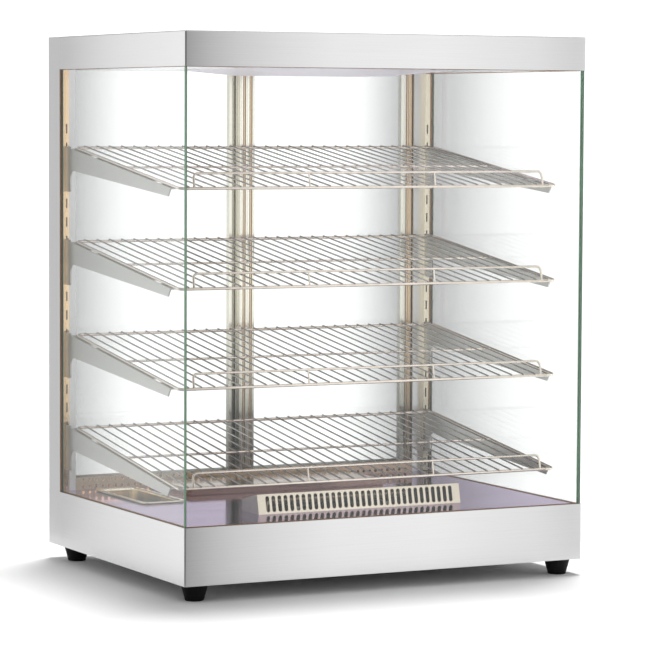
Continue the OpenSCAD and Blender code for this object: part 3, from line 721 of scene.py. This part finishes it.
def scattered(tree, points, geometry, **turn):
    """The geometry once on each point."""
    return add(tree, "GeometryNodeInstanceOnPoints",
               {0: points, "Instance": geometry, **turn}).outputs[0]


def joined(tree, *parts):
    """Several geometries as one."""
    join = add(tree, "GeometryNodeJoinGeometry")
    for part in parts:
        tree.links.new(part, join.inputs[0])
    return join.outputs[0]


def wire_row(tree, given):
    """Wires side by side along X, each with round ends and a weld at every rod point."""
    half = maths(tree, "MULTIPLY", given["Length"], 0.5)
    rod = add(tree, "GeometryNodeMeshCylinder",
              {"Vertices": 12, "Radius": given["Radius"], "Depth": given["Length"]})
    ball = add(tree, "GeometryNodeMeshUVSphere",
               {"Segments": 12, "Rings": 6, "Radius": given["Radius"]}).outputs["Mesh"]
    ends = [moved(tree, ball, Translation=vector(tree, y=maths(tree, "MULTIPLY", half, way)))
            for way in (-1.0, 1.0)]
    wire = joined(tree, moved(tree, rod.outputs["Mesh"], Rotation=(pi / 2, 0, 0)), *ends)
    spans = maths(tree, "SUBTRACT", given["Wires"], 1.0)
    first = maths(tree, "MULTIPLY", maths(tree, "MULTIPLY", spans, given["Pitch"]), -0.5)
    line = add(tree, "GeometryNodeMeshLine",
               {"Count": given["Wires"], "Offset": vector(tree, x=given["Pitch"]),
                "Start Location": vector(tree, x=first)}).outputs[0]
    weld = moved(tree, ball, Scale=(1.35, 1.25, 0.8))
    welds = scattered(tree, given["Points"], scattered(tree, line, weld))
    return joined(tree, scattered(tree, line, wire), welds)


def screw_heads(tree, given):
    """Pan heads with a cross recess, one on each point, all turned the same way."""
    radius = given["Radius"]
    height, crown, slit = (maths(tree, "MULTIPLY", radius, part) for part in (0.55, 0.66, 0.2))
    head = add(tree, "GeometryNodeMeshCone",
               {"Vertices": 24, "Side Segments": 2, "Radius Top": crown,
                "Radius Bottom": radius, "Depth": height}).outputs["Mesh"]
    recess = add(tree, "GeometryNodeMeshBoolean", operation="DIFFERENCE")
    tree.links.new(head, recess.inputs[0])
    arm = add(tree, "GeometryNodeMeshCube",
              {"Size": vector(tree, x=radius, y=slit, z=radius)}).outputs["Mesh"]
    for turn in (0.0, pi / 2):
        raised = moved(tree, arm, Translation=vector(tree, z=radius), Rotation=(0, 0, turn))
        tree.links.new(raised, recess.inputs[1])
    return scattered(tree, given["Points"], moved(tree, recess.outputs[0], Rotation=given["Turn"]))


def dial_ring(tree, given):
    """Marks round a point on a face that looks along Y, from one angle to the next."""
    bar = add(tree, "GeometryNodeMeshCube", {"Size": given["Mark"]}).outputs["Mesh"]
    mark = moved(tree, bar, Translation=vector(tree, z=given["Radius"]))
    line = add(tree, "GeometryNodeMeshLine",
               {"Count": given["Marks"], "Offset": (0, 0, 0)}).outputs[0]
    index = add(tree, "GeometryNodeInputIndex").outputs[0]
    turn = maths(tree, "MULTIPLY_ADD", index, given["Step"], given["First"])
    ring = scattered(tree, line, mark, Rotation=vector(tree, y=turn))
    return scattered(tree, given["Points"], ring)


def bristle_rows(tree, given):
    """Bristles that stand along Y on a tall grid, each leaning a little by chance."""
    grid = add(tree, "GeometryNodeMeshGrid",
               {"Size X": given["Width"], "Size Y": given["Height"],
                "Vertices X": given["Across"], "Vertices Y": given["Up"]}).outputs["Mesh"]
    upright = moved(tree, grid, Rotation=(pi / 2, 0, 0))
    hair = add(tree, "GeometryNodeMeshCone",
               {"Vertices": 4, "Radius Bottom": 0.45 * MM, "Radius Top": 0.1 * MM,
                "Depth": given["Bristle"]}).outputs["Mesh"]
    laid = moved(tree, hair, Rotation=(-pi / 2, 0, 0))
    lean = add(tree, "FunctionNodeRandomValue",
               {0: (-0.12, 0, -0.12), 1: (0.12, 0, 0.12), "Seed": 7}, data_type="FLOAT_VECTOR")
    brush = scattered(tree, upright, laid, Rotation=lean.outputs[0])
    return scattered(tree, given["Points"], brush)


# ------------------------------------------------------------------ operators

class CASE_OT_sheet_metal(bpy.types.Operator):
    """Folds the hood, the base skirt, the rear posts, the header and the sill"""

    bl_idname = "display_case.sheet_metal"
    bl_label = "Sheet metal"

    def execute(self, context):
        sizes = context.scene.case_sizes
        for part, roof in (("hood", True), ("base", False)):
            low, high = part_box(f"{part}_shell")
            high.y -= sizes.seam
            wrapped(f"{part}_sheet", low, high, sizes.fold, sizes.sheet, roof, brushed_steel,
                    CABINET, "brushed_stainless", f"{part}_shell")
        cut = sizes.cut_edge / MM
        _, _, post, sill = (
            softened(node, width, brushed_steel, CABINET, "brushed_stainless")
            for node, width in (("rear_post_left", cut), ("rear_header", cut),
                                ("rear_post_right", cut), ("rear_sill", 0.25)))
        # Faces that look into the cabinet: on the posts the heat's straw colour, on the sill a
        # darker tan of painted shade
        for made, recipe in ((post, straw_steel), (sill, sill_shade_steel)):
            made.data.materials.append(made_of(recipe))
            front = min(v.co.y for v in made.data.vertices) + 2 * MM
            for face in made.data.polygons:
                face.material_index = int(face.center.y < front and face.normal.x < 0.5)
        carried("bottom_panel", brushed_steel)
        for node in ("front_feet", "rear_feet"):
            softened(node, 1.0, moulded_rubber, CABINET, "black_rubber", segments=3)
        softened("foot_screws", 0.4, zinc_plate, CABINET, "zinc_screw")
        return {"FINISHED"}


class CASE_OT_glass(bpy.types.Operator):
    """Makes the three fixed panes with ground green edges, and the sealant beads"""

    bl_idname = "display_case.glass"
    bl_label = "Glass"

    def execute(self, context):
        sizes = context.scene.case_sizes
        edge = made_of(glass_edge)
        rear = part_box("right_glass")[1].y
        plain = clear_float_glass("clear_float_glass")
        # The right pane carries a grey strip of painted shade beside the right post
        painted_shade = clear_float_glass("painted_shade_float_glass", (1, rear, rear - sizes.pane_shading))
        faces = {"front_glass": (1, plain), "left_glass": (0, plain), "right_glass": (0, painted_shade)}
        for node, (axis, clear) in faces.items():
            bm = bmesh.new()
            for face in block(bm, *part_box(node), sizes.arris, segments=1):
                face.normal_update()
                face.material_index = 0 if abs(face.normal[axis]) > 0.9 else 1
            piece(node.replace("glass", "pane"), bm, [clear, edge], CABINET, "clear_glass", node,
                  smooth=20.0)
        carried("glass_seals", silicone_bead)
        return {"FINISHED"}


class CASE_OT_cabinet_inside(bpy.types.Operator):
    """Finishes the deck, the ceiling, the lamp, the slotted uprights and the shelf brackets"""

    bl_idname = "display_case.cabinet_inside"
    bl_label = "Inside of the cabinet"

    def execute(self, context):
        for node, recipe in (("deck", polished_steel), ("ceiling_panel", ceiling_steel),
                             ("lamp_cover", frosted_acrylic), ("lamp_board", lamp_board_mask)):
            carried(node, recipe)
        for side, straw in (("left", straw_steel), ("right", pale_straw_steel)):
            softened(f"upright_{side}", 0.22, straw, CABINET, "upright_stainless")
            for tier in range(1, len(TIERS) + 1):
                softened(f"bracket_{tier}_{side}", 0.3, satin_steel, CABINET, "satin_stainless")
        return {"FINISHED"}


class CASE_OT_shelves(bpy.types.Operator):
    """Welds the four wire shelves and their guard rails"""

    bl_idname = "display_case.shelves"
    bl_label = "Shelves"

    def execute(self, context):
        sizes = context.scene.case_sizes
        slope = Matrix.Rotation(sizes.tier_slope, 4, "X")
        wire_r, rod_r, lean = sizes.wire / 2, sizes.rod / 2, sizes.guard_lean
        for tier, body in enumerate(TIERS, 1):
            shelf, guard = f"shelf_{tier}", f"guard_{tier}"
            flat = [slope.inverted() @ v.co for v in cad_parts[shelf].data.vertices]
            low = Vector(min(p[i] for p in flat) for i in range(3))
            high = Vector(max(p[i] for p in flat) for i in range(3))
            middle = (low + high) / 2
            at = slope @ Matrix.Translation((0, middle.y, low.z + rod_r))
            width, depth = high.x - low.x - 2 * rod_r, high.y - low.y - 2 * rod_r
            lift = high.z - low.z - rod_r - wire_r
            rods = (-depth / 2, 0.0, depth / 2)
            row = grown(f"tier_{tier}_wires",
                        {"Wires": sizes.wires, "Pitch": sizes.wire_pitch,
                         "Length": depth + 2 * wire_r - 0.2 * MM, "Radius": wire_r},
                        wire_row, bright_wire,
                        [(0, y, -0.75 * wire_r) for y in rods])
            row.data.transform(at @ Matrix.Translation((0, 0, lift)))
            row.data.shade_smooth()
            row.data.set_sharp_from_angle(angle=radians(60))
            placed(row, body, "bright_wire")
            bm = bmesh.new()
            tube(bm, [(x, y, 0) for x, y in round_loop(width, depth, sizes.corner)], rod_r,
                 closed=True)
            tube(bm, [(-width / 2, 0, 0), (width / 2, 0, 0)], rod_r - THINNER)
            bm.transform(at)
            piece(f"tier_{tier}_frame", bm, [made_of(bright_rod)], body, "bright_wire", shelf)
            bm = bmesh.new()
            bend = sizes.guard_bend
            spread, tall = self.guard_size(guard, lean, slope, rod_r)
            path = [(-spread / 2, 0)] + arc((-spread / 2 + bend, tall - bend), bend, 180, 90)
            path += [(-x, y) for x, y in reversed(path)]
            tube(bm, [(x, y, 0) for x, y in path], sizes.guard / 2)
            for x in (-GUARD_POST, GUARD_POST):
                tube(bm, [(x, 0, 0), (x, tall, 0)], sizes.guard / 2 - THINNER)
            bm.transform(at @ Matrix.Translation((0, -depth / 2, 0))
                         @ Matrix.Rotation(pi / 2 - lean, 4, "X"))
            piece(f"tier_{tier}_guard", bm, [made_of(bright_rod)], body, "bright_wire", guard)
        return {"FINISHED"}

    @staticmethod
    def guard_size(guard, lean, slope, rod_r):
        """Width between the middles of the guard's end rods, and its height."""
        turn = (slope @ Matrix.Rotation(pi / 2 - lean, 4, "X")).inverted()
        flat = [turn @ v.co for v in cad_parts[guard].data.vertices]
        sizes = bpy.context.scene.case_sizes
        spread = max(p.x for p in flat) - min(p.x for p in flat) - sizes.guard
        tall = max(p.y for p in flat) - min(p.y for p in flat) - sizes.guard / 2 + rod_r
        return spread, tall


class CASE_OT_deck_fittings(bpy.types.Operator):
    """Makes the water pan, the slotted heater cover, the rear cover and the elements"""

    bl_idname = "display_case.deck_fittings"
    bl_label = "Deck fittings"

    def execute(self, context):
        sizes = context.scene.case_sizes
        self.water_pan(sizes)
        # Painted shade: the cover's inside faces are dark, as shade seen through the slots
        cover = softened("heater_cover", 0.3, bright_cover, CABINET, "polished_stainless",
                         inside=slot_shade_steel)
        cover.data.materials.append(made_of(satin_steel))
        low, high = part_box("heater_cover")
        for face in cover.data.polygons:
            beyond = min(face.center.x - low.x, high.x - face.center.x)
            if beyond < 1 * MM and not face.material_index:
                face.material_index = 2
        softened("rear_cover", 0.8, browned_steel, CABINET, "polished_stainless", segments=3)
        softened("element_clips", 0.4, satin_steel, CABINET, "satin_stainless")
        for node in ("front_element", "rear_element"):
            carried(node, sheathed_element)
        return {"FINISHED"}

    @staticmethod
    def water_pan(sizes):
        """Draws the pan: a rolled rim, tapering walls and a rounded floor."""
        low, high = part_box("water_pan")
        centre, width, depth = (low + high) / 2, high.x - low.x, high.y - low.y
        rim, wall, draw = 3 * MM, 1 * MM, sizes.pan_draw
        taper, corner, tightest = 1 * MM, 11 * MM, 1.2 * MM
        tub, floor = 6.2 * MM, low.z
        profile = [(rim / 2 + d[0], high.z - rim / 2 + d[1])
                   for d in arc((0, 0), rim / 2, 270, 90, 10)]
        profile += [(tub - 1 * MM, high.z - 0.1 * MM), (tub + 0.6 * MM, high.z - 1.2 * MM)]
        inner = tub + wall
        profile.append((inner, high.z - 4 * MM))
        profile += [(inner + taper + draw + d[0], floor + wall + draw + d[1])
                    for d in arc((0, 0), draw, 180, 270)]
        profile.append((width / 2 - 2 * MM, floor + wall))
        profile.append((width / 2 - 2 * MM, floor))
        profile += [(inner + taper + draw + d[0], floor + draw + wall + d[1])
                    for d in arc((0, 0), draw + wall, 270, 180)]
        profile += [(tub, high.z - 4.5 * MM), (tub, high.z - rim)]
        bm = bmesh.new()
        loops = []
        for inset, z in profile:
            radius = max(corner - inset * 0.45, tightest)
            radius = min(radius, (width - 2 * inset) / 2 - 0.01 * MM)
            loops.append([bm.verts.new((centre.x + x, centre.y + y, z)) for x, y in
                          round_loop(width - 2 * inset, depth - 2 * inset, radius)])
        for a, b in zip(loops, loops[1:] + loops[:1]):
            for k in range(len(a)):
                j = (k + 1) % len(a)
                if a is loops[-1] or b is not loops[0]:
                    bm.faces.new((a[k], a[j], b[j], b[k]))
        bmesh.ops.remove_doubles(bm, verts=bm.verts[:], dist=0.001 * MM)
        holes = [e for e in bm.edges if e.is_boundary]
        bmesh.ops.holes_fill(bm, edges=holes, sides=0)
        piece("drawn_water_pan", bm, [made_of(drawn_steel)], "pan", "pan_stainless", "water_pan")


class CASE_OT_doors(bpy.types.Operator):
    """Finishes the two sliding doors, their tracks, screws and brush strip"""

    bl_idname = "display_case.doors"
    bl_label = "Doors"

    def execute(self, context):
        sizes = context.scene.case_sizes
        for body in DOORS:
            frame_node, pane = f"{body}_frame", f"{body}_glass"
            self.door_frame(frame_node, body)
            low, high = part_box(pane)
            left = body == "left_door"
            # Each door's glass carries a grey strip of painted shade along its outer edge
            dense = low.x if left else high.x
            shading = (0, dense, dense + sizes.door_shading * (1 if left else -1))
            glass = clear_float_glass(f"{body}_float_glass", shading)
            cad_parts[pane].material_slots[0].material = glass
            carried(f"{body}_glides", natural_nylon)
            low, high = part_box(frame_node)
            # The lower row sits low, to pass clear of the brush strip
            rows = [low.z + 18 * MM, high.z - 34 * MM]
            columns = (low.x + 2.9 * MM, low.x + 13.8 * MM, high.x - 32 * MM, high.x - 4.8 * MM)
            for face, y, turn in (("inner", low.y, pi / 2), ("outer", high.y, -pi / 2)):
                heads = grown(f"{body}_{face}_screws",
                              {"Radius": sizes.screw / 2, "Turn": Vector((turn, 0.0, 0.0))},
                              screw_heads, zinc_plate, [(x, y, z) for z in rows for x in columns])
                placed(heads, body, "zinc_screw")
        for node in ("track_top", "track_bottom"):
            softened(node, 0.15, anodised_aluminium, CABINET, "anodised_aluminium", segments=1)
        low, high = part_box("pile_strip")
        centre = (low + high) / 2
        brush = grown("door_brush",
                      {"Width": high.x - low.x - 1 * MM, "Height": high.z - low.z - 2 * MM,
                       "Across": 4, "Up": 260, "Bristle": sizes.bristle},
                      bristle_rows, brush_pile, [(centre.x, low.y, centre.z)])
        placed(brush, "right_door", "black_pile", "pile_strip")
        return {"FINISHED"}

    @staticmethod
    def stile_front(width):
        """Points across a stile's front: three crowned ribs, and a round groove between each."""
        groove, crown, dip = 2.4 * MM, 0.5 * MM, 1.0 * MM
        edges = [0.0]
        for share in GROOVES:
            edges += [width * share - groove, width * share + groove]
        edges.append(width)
        front = []
        for i, (start, end) in enumerate(zip(edges, edges[1:])):
            last = i == len(edges) - 2
            for k in range(BOW_STEPS + 1 if last else BOW_STEPS):
                t = k / BOW_STEPS
                bow = crown * (2 * t - 1) ** 2 if i % 2 == 0 else crown + dip * sin(pi * t)
                front.append((start + t * (end - start), bow))
        return front

    def door_frame(self, node, body):
        """Two extruded stiles with ribs and grooves, two rails and a finger pull.

        Only the right door's grooves carry painted shade, tan with dark corners, and so does its
        wide stile past the first rib.
        """
        low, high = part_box(node)
        narrow, wide, rail = 26 * MM, 38 * MM, 26 * MM
        right = body == "right_door"
        bm = bmesh.new()
        for x, width in ((low.x, narrow), (high.x - wide, wide)):
            front = self.stile_front(width)
            section = [(x + u, low.y + v) for u, v in front]
            section += [(x + u, high.y - v) for u, v in reversed(front)]
            rings = [[bm.verts.new((u, v, z)) for u, v in section] for z in (low.z, high.z)]
            count, half = len(section), len(front)
            # Painted shade: tan in the grooves and on the wide stile past its first rib, dark at
            # the grooves' corners
            painted_shade_from = BOW_STEPS if right and width == wide else half
            for k in range(count):
                after = (k + 1) % count
                strip = bm.faces.new((rings[0][k], rings[0][after], rings[1][after], rings[1][k]))
                step = k if k < half else count - 2 - k
                if step // BOW_STEPS in (1, 3) and right:
                    strip.material_index = 2 if step % BOW_STEPS in (0, BOW_STEPS - 1) else 1
                elif painted_shade_from < k < half:
                    strip.material_index = 1
            bm.faces.new(rings[0][::-1])
            bm.faces.new(rings[1])
        lap, inset = 0.5 * MM, 0.6 * MM
        for z in (low.z, high.z - rail):
            block(bm, (low.x + narrow - lap, low.y + inset, z),
                  (high.x - wide + lap, high.y - inset, z + rail), 0.5 * MM)
        for face in bm.faces:
            face.smooth = True
        bmesh.ops.recalc_face_normals(bm, faces=bm.faces[:])
        made = object_of(f"{body}_extrusions", bm, made_of(anodised_aluminium),
                         made_of(painted_groove_shade), made_of(painted_corner_shade))
        self.finger_pull(made, high.x - wide / 2, high.y, (low.z + high.z) / 2)
        made.data.set_sharp_from_angle(angle=radians(40))
        placed(made, body, "anodised_aluminium", node)

    @staticmethod
    def finger_pull(made, x, y, z):
        """Cuts an upright slot with round ends into a stile's outer face."""
        radius, reach, depth, past = 8 * MM, 47 * MM, 4 * MM, 5 * MM
        bm = bmesh.new()
        turns = [radians((k + 0.5) * 360 / PULL_SIDES) for k in range(PULL_SIDES)]
        rim = [(x + radius * cos(a), z + radius * sin(a) + (reach if sin(a) > 0 else -reach))
               for a in turns]
        rings = [[bm.verts.new((u, at, v)) for u, v in rim] for at in (y - depth, y + past)]
        for k in range(PULL_SIDES):
            after = (k + 1) % PULL_SIDES
            bm.faces.new((rings[0][k], rings[0][after], rings[1][after], rings[1][k]))
        bm.faces.new(rings[0])
        bm.faces.new(rings[1][::-1])
        bmesh.ops.recalc_face_normals(bm, faces=bm.faces[:])
        cutter = object_of("finger_pull", bm)
        pull = made.modifiers.new("finger pull", "BOOLEAN")
        pull.operation, pull.object = "DIFFERENCE", cutter
        settled(made)
        bpy.data.objects.remove(cutter)


class CASE_OT_controls(bpy.types.Operator):
    """Finishes the rear panel with its knob, dial marks, switches, lamp, screws and gland"""

    bl_idname = "display_case.controls"
    bl_label = "Controls"

    def execute(self, context):
        sizes = context.scene.case_sizes
        for node, width, recipe, body, slot, segments in (
                ("control_panel", 0.2, brushed_steel, CABINET, "brushed_stainless", 2),
                ("thermostat_knob", 0.8, black_nylon, "knob", "black_nylon", 3),
                ("switch_bezels", 0.5, black_nylon, CABINET, "black_nylon", 2),
                ("cord_gland", 0.7, black_nylon, CABINET, "black_nylon", 2),
                ("power_rocker", 0.5, rocker_plastic, "power_switch", "green_rocker_plastic", 2),
                ("light_rocker", 0.5, black_nylon, "light_switch", "black_nylon", 2),
                ("indicator_lamp", 0.6, amber_lens, CABINET, "amber_lens", 3)):
            softened(node, width, recipe, body, slot, segments)
        carried("thermostat", black_nylon)
        low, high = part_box("control_panel")
        knob_low, knob_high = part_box("thermostat_knob")
        middle = (knob_low + knob_high) / 2
        face, ink = high.y, 0.06 * MM
        sweep, dial_radius = radians(270), 23 * MM
        mark = Vector((0.9 * MM, 0.16 * MM, 3.6 * MM))
        marks = grown("dial_marks",
                      {"Marks": sizes.dial_marks, "Radius": dial_radius, "First": -sweep / 2,
                       "Step": sweep / (sizes.dial_marks - 1), "Mark": mark},
                      dial_ring, printed_ink, [(middle.x, face + ink, middle.z)])
        placed(marks, CABINET, "brushed_stainless")
        screw_low, screw_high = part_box("panel_screws")
        head, proud = 3.6 * MM, 1.0 * MM
        spots = [(x, face + proud, z) for x in (screw_low.x + head, screw_high.x - head)
                 for z in (screw_low.z + head, screw_high.z - head)]
        heads = grown("panel_screw_heads", {"Radius": head, "Turn": Vector((-pi / 2, 0.0, 0.0))},
                      screw_heads, zinc_plate, spots)
        placed(heads, CABINET, "zinc_screw", "panel_screws")
        for node, body in (("power_rocker", "power_switch"), ("light_rocker", "light_switch")):
            self.switch_marks(node, body)
        return {"FINISHED"}

    @staticmethod
    def switch_marks(node, body):
        """A bar and a ring, raised on a rocker's two faces."""
        low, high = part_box(node)
        x, z = (low.x + high.x) / 2, (low.z + high.z) / 2
        pivot = Vector((x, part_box("control_panel")[0].y, z))
        tipped = radians(-10)
        rest = Matrix.Translation(pivot) @ Matrix.Rotation(tipped, 4, "X")
        bm = bmesh.new()
        line = 0.35 * MM
        tube(bm, [(side * 1.9 * MM, 5.35 * MM, 6 * MM) for side in (-1, 1)], line, sides=8)
        ring = [(1.7 * MM * cos(a), (5.32 + 0.32 * sin(a)) * MM, (-6 - 1.7 * sin(a)) * MM)
                for a in (2 * pi * k / 20 for k in range(20))]
        tube(bm, ring, line, sides=8, closed=True)
        bm.transform(rest)
        piece(node + "_marks", bm, [made_of(printed_ink)], body, "black_nylon")


class CASE_OT_studio(bpy.types.Operator):
    """Sets the pale sweep, the soft lights and the camera"""

    bl_idname = "display_case.studio"
    bl_label = "Studio"

    def execute(self, context):
        studio = context.scene.case_studio
        context.scene.view_settings.view_transform = "Standard"
        self.camera(context, studio)
        self.surroundings(context, studio)
        self.sweep(context)
        self.cards()
        self.lamps(context, studio)
        return {"FINISHED"}

    @staticmethod
    def lamps(context, studio):
        """A broad light from above, and a small warm lamp behind the sill's left end."""
        key = bpy.data.lights.new("overhead_key", "SUN")
        softness, heading = radians(13), Vector((-0.14, -0.15, -1.0))
        key.energy, key.angle = studio.key, softness
        sun = bpy.data.objects.new("overhead_key", key)
        sun.rotation_euler = heading.to_track_quat("-Z", "Y").to_euler()
        sun.visible_glossy = False
        context.scene.collection.objects.link(sun)
        glow = bpy.data.lights.new("sill_glow", "AREA")
        glow.shape, glow.size, glow.size_y = "RECTANGLE", 120 * MM, 30 * MM
        glow.energy, glow.color = 0.012, (1.0, 0.52, 0.22)
        behind_sill = bpy.data.objects.new("sill_glow", glow)
        low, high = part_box("rear_sill")
        behind_sill.location = (low.x + 70 * MM, low.y + 5 * MM, (low.z + high.z) / 2 + 4 * MM)
        behind_sill.rotation_euler = (pi / 2, 0, pi)
        context.scene.collection.objects.link(behind_sill)

    @staticmethod
    def camera(context, studio):
        """Stands the camera where its yaw, pitch, roll and place say."""
        yaw, pitch, roll = studio.yaw, studio.pitch, studio.roll
        ahead = Vector((sin(yaw) * cos(pitch), cos(yaw) * cos(pitch), -sin(pitch)))
        right = Vector((cos(yaw), -sin(yaw), 0))
        up = right.cross(ahead)
        across, above = cos(roll) * right + sin(roll) * up, cos(roll) * up - sin(roll) * right
        lens = bpy.data.cameras.new("camera")
        lens.lens, lens.sensor_width, lens.clip_end = studio.lens, 36.0, 100.0
        camera = bpy.data.objects.new("camera", lens)
        turn = Matrix((across, above, -ahead)).transposed().to_4x4()
        camera.matrix_world = Matrix.Translation(studio.place) @ turn
        context.scene.collection.objects.link(camera)
        context.scene.camera = camera

    @staticmethod
    def surroundings(context, studio):
        """A white dome. Shiny things see it dark behind, high up and around the camera."""
        world = bpy.data.worlds.new("white_dome")
        world.use_nodes = True
        context.scene.world = world
        tree = world.node_tree
        tree.nodes.clear()
        way = add(tree, "ShaderNodeTexCoord").outputs["Generated"]
        axes = add(tree, "ShaderNodeSeparateXYZ", {0: way}).outputs
        facing = add(tree, "ShaderNodeVectorMath", {0: way, 1: (-0.55, -0.83, 0)},
                     operation="DOT_PRODUCT").outputs["Value"]

        # A direction's z is 0 at the horizon and 1 overhead, its y 1 straight behind the case
        def step(value, start, end, first=0.0, last=1.0):
            return spanned(tree, value, start, end, first, last, interpolation_type="SMOOTHSTEP")

        behind = maths(tree, "MULTIPLY", step(axes[2], 0.10, 0.38), step(axes[1], 0.15, 0.75))
        raised = maths(tree, "MAXIMUM", behind, step(axes[2], 0.40, 0.55))
        high = maths(tree, "MULTIPLY", raised, step(axes[2], 0.76, 0.92, 1.0, 0.0))
        dark = maths(tree, "MAXIMUM", high, step(facing, 0.62, 0.90))
        seen = spanned(tree, dark, 0, 1, 1.2, 0.12)
        path = add(tree, "ShaderNodeLightPath").outputs
        plain = add(tree, "ShaderNodeMix",
                    {0: path["Is Glossy Ray"], 2: studio.dome, 3: seen}).outputs[0]
        bright = add(tree, "ShaderNodeMix",
                     {0: path["Is Camera Ray"], 2: plain, 3: 1.6}).outputs[0]
        glow = add(tree, "ShaderNodeBackground", {"Strength": bright})
        add(tree, "ShaderNodeOutputWorld", {"Surface": glow.outputs[0]})

    @staticmethod
    def sweep(context):
        """A wide sheet of pale paper under the case."""
        material, tree, place = started("matt_paper")
        fibre = grain(tree, place, (250, 250, 250))
        paper = context.scene.case_colours.paper
        shaded = (*(part * 0.985 for part in paper[:3]), 1)
        tint = add(tree, "ShaderNodeMix", {0: fibre, 6: paper, 7: shaded}, data_type="RGBA")
        shader = add(tree, "ShaderNodeBsdfDiffuse", {"Color": tint.outputs[2]})
        shown(tree, shader.outputs[0])
        bm = bmesh.new()
        bmesh.ops.create_grid(bm, x_segments=8, y_segments=8, size=30.0)
        object_of("paper_sweep", bm, material)

    @staticmethod
    def cards():
        """Two graded cards that only shiny surfaces see, beside the front and the left side.

        Each is a start, a length along X or Y, and its levels along it in metres.
        """
        cards = (("front_card", Vector((-0.60, -0.30, 0.7)), Vector((1.0, 0, 0)), 1.8,
                  ((0.27, 0.20), (0.293, 0.47), (0.332, 0.67), (0.376, 0.83), (0.444, 0.99),
                   (0.530, 1.14), (0.702, 1.18), (0.872, 1.04), (0.95, 0.86), (1.06, 1.7))),
                 ("side_card", Vector((-0.38, -0.6, 0.7)), Vector((0, 1.0, 0)), 1.6,
                  ((0.40, 0.20), (0.425, 1.20), (0.524, 1.10), (0.616, 1.07), (0.727, 0.99),
                   (0.840, 0.815), (0.914, 0.65), (0.96, 0.70))))
        for name, start, along, span, stops in cards:
            material, tree, place = started(name)
            axis = 0 if along.x else 1
            shift = spanned(tree, axis_of(tree, place, axis), start[axis], start[axis] + span, 0, 1)
            ramp = add(tree, "ShaderNodeValToRGB", {0: shift})
            while len(ramp.color_ramp.elements) < len(stops):
                ramp.color_ramp.elements.new(0.5)
            brightest = max(level for _, level in stops)
            for element, (at, level) in zip(ramp.color_ramp.elements, stops):
                element.position = at / span
                element.color = (level / brightest,) * 3 + (1,)
            lit = add(tree, "ShaderNodeEmission", {"Color": ramp.outputs[0], "Strength": brightest})
            shown(tree, lit.outputs[0])
            bm = bmesh.new()
            half, end = Vector((0, 0, 0.69)), start + along * span
            corners = [start - half, end - half, end + half, start + half]
            bm.faces.new([bm.verts.new(c) for c in corners])
            card = object_of(name, bm, material)
            card.visible_camera = card.visible_diffuse = card.visible_shadow = False
            card.visible_transmission = False


class CASE_PT_panel(bpy.types.Panel):
    """Lists the steps of the case in the sidebar"""

    bl_idname = "CASE_PT_panel"
    bl_label = "Display Case"
    bl_space_type = "VIEW_3D"
    bl_region_type = "UI"
    bl_category = "Display Case"

    def draw(self, context):
        for step in STEPS:
            self.layout.operator(step.bl_idname)
        for group in ("case_sizes", "case_colours", "case_studio"):
            box = self.layout.box()
            settings = getattr(context.scene, group)
            for name in settings.__annotations__:
                box.prop(settings, name)


STEPS = (CASE_OT_studio, CASE_OT_sheet_metal, CASE_OT_glass, CASE_OT_cabinet_inside,
         CASE_OT_shelves, CASE_OT_deck_fittings, CASE_OT_doors, CASE_OT_controls)
GROUPS = {"case_sizes": CaseSizes, "case_colours": CaseColours, "case_studio": StudioSettings}
CLASSES = (*GROUPS.values(), *STEPS, CASE_PT_panel)


def register():
    """Registers the classes and hangs the settings on the scene."""
    for cls in CLASSES:
        bpy.utils.register_class(cls)
    for name, cls in GROUPS.items():
        setattr(bpy.types.Scene, name, PointerProperty(type=cls))


def unregister():
    """Takes the settings and the classes away again."""
    for name in GROUPS:
        delattr(bpy.types.Scene, name)
    for cls in reversed(CLASSES):
        bpy.utils.unregister_class(cls)


def main():
    """Builds the case step by step."""
    register()
    for step in STEPS:
        family, name = step.bl_idname.split(".")
        getattr(getattr(bpy.ops, family), name)()


if __name__ == "__main__":
    main()
